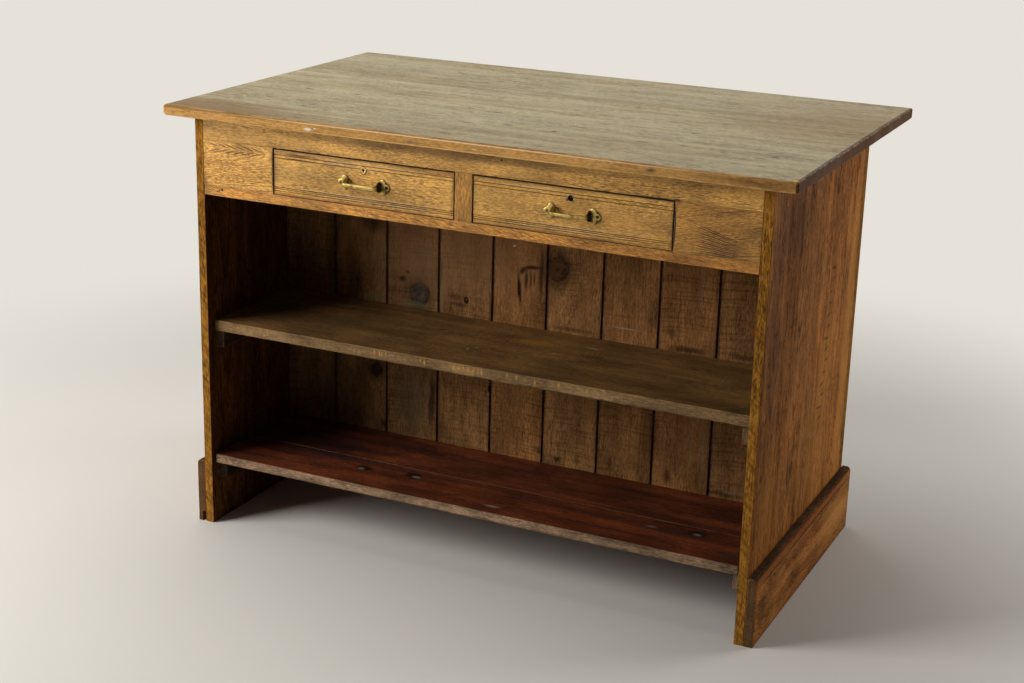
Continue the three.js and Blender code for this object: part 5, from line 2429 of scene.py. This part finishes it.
def partition_marks() -> list[Mark]:
    """Stains, streaks and spots on the boards behind the shelves, dark strips along their feet over the
    shelves, painted light over the upper boards, and painted shade over the lower bay.

    Returns:
        The marks, the lowest one first.
    """
    dark, black = "#241509", "#0C0704"
    # (-190, 590) paints light over the upper boards.
    marks = marks_of((-190, 590, 330, 140, "#966E4C", 0.42, 0.3))
    marks += marks_of((-143, 492, 7, 9, black, 0.9, 0.7, 8), ragged=False)
    marks += marks_of(
        (-143, 494, 3, 4, "#5A3A20", 0.8, 0.5), (-170, 496, 24, 14, "#2E1A12", 0.6),
        (-160, 480, 26, 8, dark, 0.55), (-298, 518, 13, 10, black, 0.75), (-285, 535, 8, 5, black, 0.6),
        (-235, 560, 60, 50, "#6A6040", 0.35), (-205, 500, 20, 40, "#70684A", 0.4),
        (10, 586, 28, 7, black, 0.85, 0.2, 6), (-12, 577, 16, 9, black, 0.85, 0.2, 48),
        (-19, 535, 7.5, 52, black, 0.95, 0.2, 5), (-4, 556, 6, 32, black, 0.75),
        (6, 560, 5, 28, black, 0.65), (15, 564, 4, 22, dark), (31, 575, 8, 80, "#15110C", 0.75, 0.1),
        (-33, 627, 3, 2.2, "#D9CDB8", 0.9, 0.5), (-28, 590, 20, 30, "#5A3E24", 0.3),
        (497, 525, 9, 10, "#A04A18", 0.8), (503, 522, 5, 7, black, 0.8),
        (464, 500, 2.5, 30, "#8A7050", 0.35, 0.2, -42), (478, 512, 2.5, 20, "#8A7050", 0.3, 0.2, -30),
        (222, 487, 46, 2.6, "#A0907A", 0.5), (215, 512, 34, 3.2, "#7A3A1C", 0.4), (360, 464, 58, 10, black),
        (486, 466, 56, 9, black, 0.6), (105, 466, 70, 7, black, 0.5), (-369, 632, 46, 26, black, 0.6),
        (-380, 468, 50, 12, "#6E6848", 0.5), (-270, 466, 56, 10, "#6E6848", 0.45),
        (380, 590, 6, 60, "#6A6050", 0.45, 0.1), (230, 640, 40, 40, "#5A3418", 0.3),
        (-223, 245, 11, 92, "#100A06", 0.75, 0.2, -2), (-84, 302, 4.5, 10, "#000000", 0.95, 0.5),
        (80, 171, 14, 10, black, 0.8), (37, 185, 10, 14, black, 0.6), (201, 188, 8, 26, black, 0.6),
        # (300, 700) paints light over the top of the right-hand boards.
        (330, 182, 11, 26, black, 0.75), (300, 700, 300, 40, "#8A6034", 0.3, 0), (-344, 176, 12, 14, black),
        (405, 245, 6, 90, "#8A7A60", 0.5, 0.1), (455, 168, 60, 10, "#1A0E08", 0.6),
        (470, 172, 30, 5, "#8A8070", 0.3), (-272, 245, 58, 110, "#4E4836", 0.5, 0.3),
        # (420, 240) and (-400, 260) paint shade over the lower bay, darkest at the left.
        (420, 240, 300, 170, "#3A2412", 0.3, 0), (-400, 260, 330, 200, "#120A06", 0.4, 0),
        (-20, 300, 50, 34, "#7A5A38", 0.3),
    )
    return marks


@dataclass(frozen=True)
class Finishes:
    """Every finish of the island."""

    top_oak: Coat
    honey_oak: Coat
    panel_oak: Coat
    plinth_oak: Coat
    sawn_pine: Coat
    shelf_pine: Coat
    red_pine: Coat
    raw_wood: Coat
    brass: Coat
    rubbed_brass: Coat
    steel: Coat
    iron: Coat

    @staticmethod
    def build() -> "Finishes":
        """Builds each finish once.

        Returns:
            The finishes.
        """
        effects = Effects()
        recipes = (
            # The top's face colours are paler and greyer than the oak's own, a painted sheen; the edge colour
            # is the oak's own.
            WoodFinish(
                "Top oak", Slot.TOP_OAK, "#B0A078", "#665238", "#96825C", "#2A2018", "#C89C6A",
                edge="#BE8C4A", edge_share=0.92, plane=Plane.TOP, ring_spacing=4.6, taper=0.02, waviness=16,
                rings=0.45, streaks=0.5, clouds=0.1, pores=0.5, pore_size=1.8, rub_width=2.4, rub=0.45,
                grime=0.1, roughness=(0.36, 0.5), gloss=0.15, marks=top_marks(),
            ),
            WoodFinish(
                "Honey oak", Slot.HONEY_OAK, "#CC9A4C", "#7A4C1C", "#A47634", "#3E2410", "#C99450",
                edge="#2E1A0C", edge_share=0.8, ring_spacing=4.2, waviness=8, rings=0.34, streaks=0.65,
                fibres=0.3, clouds=0.26, pores=0.65, pore_size=1.15, rub_width=1.4, rub=0.25, grime=0.4,
                roughness=(0.42, 0.56), gloss=0.28, marks=apron_marks(),
            ),
            WoodFinish(
                "Panel oak", Slot.BROWN_OAK, "#A86A2E", "#3E200A", "#774820", "#241006", "#94602A",
                edge="#A8742C", edge_share=0.85, plane=Plane.SIDE, ring_spacing=6.5, taper=0.03, waviness=12,
                rings=0.9, streaks=0.75, fibres=0.3, clouds=0.18, pores=0.85, pore_size=2.2, rub_width=1.6,
                rub=0.25, grime=0.3, inner=0.36, chatter=0.35, roughness=(0.6, 0.75), gloss=0.03,
                upright=True, marks=panel_marks(),
            ),
            WoodFinish(
                "Plinth oak", Slot.BROWN_OAK, "#AA703A", "#4A260E", "#7E4A22", "#241206", "#94602E",
                edge="#54402E", edge_share=0.9, plane=Plane.SIDE, taper=0.03, waviness=12, streaks=0.8,
                fibres=0.3, clouds=0.28, pores=0.75, pore_size=1.6, rub_width=2.4, rub=0.3, grime=0.3,
                roughness=(0.6, 0.75), gloss=0.03, marks=plinth_marks(),
            ),
            WoodFinish(
                "Sawn pine", Slot.SAWN_PINE, "#845E38", "#5A3B21", "#684829", "#24170C", "#604228",
                ring_spacing=7.0, taper=0.06, rings=0.5, streaks=0.55, fibres=0.27, clouds=0.28, pores=0.5,
                pore_size=1.8, rub_width=1.6, rub=0.0, grime=0.5, gap=2.0, saw=0.45, roughness=(0.7, 0.85),
                gloss=0.05, relief=0.3, upright=True, marks=partition_marks(),
                knots=(
                    Knot(-255, 490, 25, "#3E3C38", "#100E0C", "#2E2A20", 0.6),
                    Knot(68, 592, 26, "#4A2E18", "#0A0604", "#1E1209", 0.7),
                    Knot(-361, 300, 15, "#33210F", "#100904", "#1A1008", 0.6),
                ),
            ),
            WoodFinish(
                "Shelf pine", Slot.SHELF_PINE, "#76562E", "#422C14", "#5A3E20", "#22160A", "#94703E",
                edge="#7E6444", edge_share=0.9, plane=Plane.TOP, ring_spacing=6, taper=0.03, waviness=18,
                rings=0.5, fibres=0.27, pores=0.45, pore_size=1.8, rub_width=2.4, rub=0.35, saw=0.1,
                roughness=(0.5, 0.65), gloss=0.16, marks=shelf_marks(),
            ),
            WoodFinish(
                "Red pine", Slot.RED_PINE, "#6A331A", "#2E120A", "#3C1A0D", "#140805", "#7A4C30",
                edge="#8E745A", edge_share=0.9, plane=Plane.TOP, ring_spacing=6, taper=0.03, waviness=18,
                streaks=0.85, fibres=0.38, clouds=0.45, pores=0.65, pore_size=1.8, rub_width=2.4, rub=0.35,
                roughness=(0.42, 0.6), gloss=0.2, marks=red_shelf_marks(),
            ),
            WoodFinish(
                "Raw wood", Slot.RAW_WOOD, "#BC9C6C", "#8A6A40", "#A08052", "#5E4428", "#C4A67C",
                plane=Plane.TOP, rings=0.5, pores=0.3, pore_size=1.4, rub=0.2, roughness=(0.6, 0.8),
            ),
            MetalFinish("Old brass", Slot.BRASS, "#BAA05E", "#5A4622", (0.4, 0.62)),
            MetalFinish("Rubbed brass", Slot.BRASS, "#E0BC70", "#A88848", (0.5, 0.7)),
            MetalFinish("Lock steel", Slot.STEEL, "#9A958C", "#4A4038", (0.35, 0.6)),
            MetalFinish("Old iron", Slot.STEEL, "#4A3E36", "#2A1C14", (0.6, 0.85)),
        )
        return Finishes(*(recipe.build(effects) for recipe in recipes))


# Studio


def seen_directly(g: Graph) -> Socket:
    """1 for rays from the camera and for those that metal, wax and glass send on, otherwise 0.

    Args:
        g: the graph that the nodes go into.

    Returns:
        The share.
    """
    rays = g.node("ShaderNodeLightPath").outputs
    bounced = g.math("MAXIMUM", rays["Is Glossy Ray"], rays["Is Transmission Ray"])
    return g.math("MAXIMUM", rays["Is Camera Ray"], bounced)


@dataclass
class Studio:
    """The floor, the lights and the camera."""

    camera_at: Triple = (1.497465, -3.336901, 1.587383)
    yaw: float = 25.074  # how far it turns from +Y towards -X
    pitch: float = 17.946  # how far it looks down
    roll: float = 1.533
    lens: float = 62.983
    sensor: float = 36.0
    floor_half: float = 20.0
    fade: Pair = (1.1, 2.3)  # between which distances the floor turns into the backdrop
    backdrop: str = "#E6E2DA"

    def build(self) -> None:
        """Sets the whole studio up."""
        bpy.context.scene.view_settings.view_transform = "Standard"
        self.camera()
        self.floor()
        self.world()
        self.lamp("Key", (-2.8, -2.4, 1.8), (0.0, -0.3, 0.5), (1.8, 1.6), 140)
        self.lamp("Fill", (2.6, 2.0, 1.3), (0.5, 0.2, 0.4), (1.6, 1.6), 44)
        self.lamp("Overhead", (-1.0, 0.5, 4.0), (0.0, 0.0, 0.9), (3.0, 3.0), 72)

    def camera(self) -> None:
        """The camera at the photograph's place."""
        data = bpy.data.cameras.new("Camera")
        data.lens, data.sensor_width, data.sensor_fit = self.lens, self.sensor, "HORIZONTAL"
        turns = ((self.yaw, "Z"), (90 - self.pitch, "X"), (self.roll, "Z"))
        place = Matrix.Translation(self.camera_at)
        for angle, axis in turns:
            place = place @ Matrix.Rotation(math.radians(angle), 4, axis)
        bpy.context.scene.camera = self.placed("Camera", data, place)

    @staticmethod
    def placed(name: str, data: bpy.types.ID, place: Matrix) -> Object:
        """Puts a camera or a lamp into the scene.

        Args:
            name: its name.
            data: the camera's or lamp's data.
            place: its place and turn.

        Returns:
            The object.
        """
        made = bpy.data.objects.new(name, data)
        made.matrix_world = place
        bpy.context.scene.collection.objects.link(made)
        return made

    def floor(self) -> None:
        """A plain pale floor."""
        half = self.floor_half
        points = np.array([(-half, -half, 0.0), (half, -half, 0.0), (half, half, 0.0), (-half, half, 0.0)])
        made = object_of("floor", mesh_of("floor", points, [(0, 1, 2, 3)]))
        material = bpy.data.materials.new("Pale floor")
        material.use_nodes = True
        shader = material.node_tree.nodes["Principled BSDF"]
        shader.inputs["Base Color"].default_value = colour_of("#DAD5CC")
        shader.inputs["Roughness"].default_value = 0.85
        g = Graph(material.node_tree)
        distance = g.vector("LENGTH", g.own_place())
        share = g.times(g.span(distance, *self.fade), seen_directly(g))
        pale = g.node("ShaderNodeEmission", {"Color": colour_of(self.backdrop), "Strength": 1.0})
        mixed = g.node("ShaderNodeMixShader", {0: share, 1: shader.outputs[0], 2: pale.outputs[0]})
        g.feed(material.node_tree.nodes["Material Output"].inputs["Surface"], mixed.outputs[0])
        made.data.materials.append(material)

    def world(self) -> None:
        """A dim even world that reflections see pale, and the camera in the far floor's colour."""
        world = bpy.data.worlds.new("Studio")
        world.use_nodes = True
        world.node_tree.nodes.clear()
        g = Graph(world.node_tree)
        sky = g.node("ShaderNodeTexCoord").outputs["Generated"]
        heading = g.vector("DOT_PRODUCT", sky, (-0.35, 0.94, 0.0))
        strength = g.line(seen_directly(g), g.span(heading, -0.5, 0.8, 0.4, 0.9), 0.055)
        light = g.node("ShaderNodeBackground", {"Color": colour_of("#F4F1EC"), "Strength": strength})
        backdrop = g.node("ShaderNodeBackground", {"Color": colour_of(self.backdrop), "Strength": 1.0})
        seen = g.node("ShaderNodeLightPath").outputs["Is Camera Ray"]
        mixed = g.node("ShaderNodeMixShader", {0: seen, 1: light.outputs[0], 2: backdrop.outputs[0]})
        g.node("ShaderNodeOutputWorld", {"Surface": mixed.outputs[0]})
        bpy.context.scene.world = world

    def lamp(self, name: str, place: Triple, target: Triple, size: Pair, power: float) -> None:
        """A soft rectangular lamp.

        Args:
            name: its name.
            place: where it stands.
            target: what it looks at.
            size: its width and height, in metres.
            power: its power in watts.
        """
        data = bpy.data.lights.new(name, "AREA")
        data.shape, data.energy = "RECTANGLE", power
        data.size, data.size_y = size
        aim = (Vector(target) - Vector(place)).to_track_quat("-Z", "Y").to_matrix().to_4x4()
        self.placed(name, data, Matrix.Translation(place) @ aim)


def main() -> None:
    """Builds the studio and each sub-assembly."""
    logging.basicConfig(level=logging.INFO, format="%(name)s: %(message)s")
    Studio().build()
    shop = Finishes.build()
    left_pull, right_pull = Pull("left", 9 * MM, 0.4 * MM, reeds=4), Pull("right", 7 * MM, 1.6 * MM)
    left = Drawer("left", 0.02, (0.4, -0.005, 0.06), 0.6, True, left_pull)
    right = Drawer("right", -0.09, (1.3, 0.03, 0.05), -1.0, False, right_pull)
    made = [
        *Worktop().build(shop.top_oak),
        *EndPanels().build(shop.panel_oak, shop.plinth_oak),
        *Apron().build(shop.honey_oak),
        *Partition().build(shop.sawn_pine),
        *Shelves().build(shop.shelf_pine, shop.red_pine),
        *Framing().build(shop.raw_wood),
        *left.build(shop),
        *right.build(shop),
        Nails().build(shop.iron),
    ]


if __name__ == "__main__":
    main()
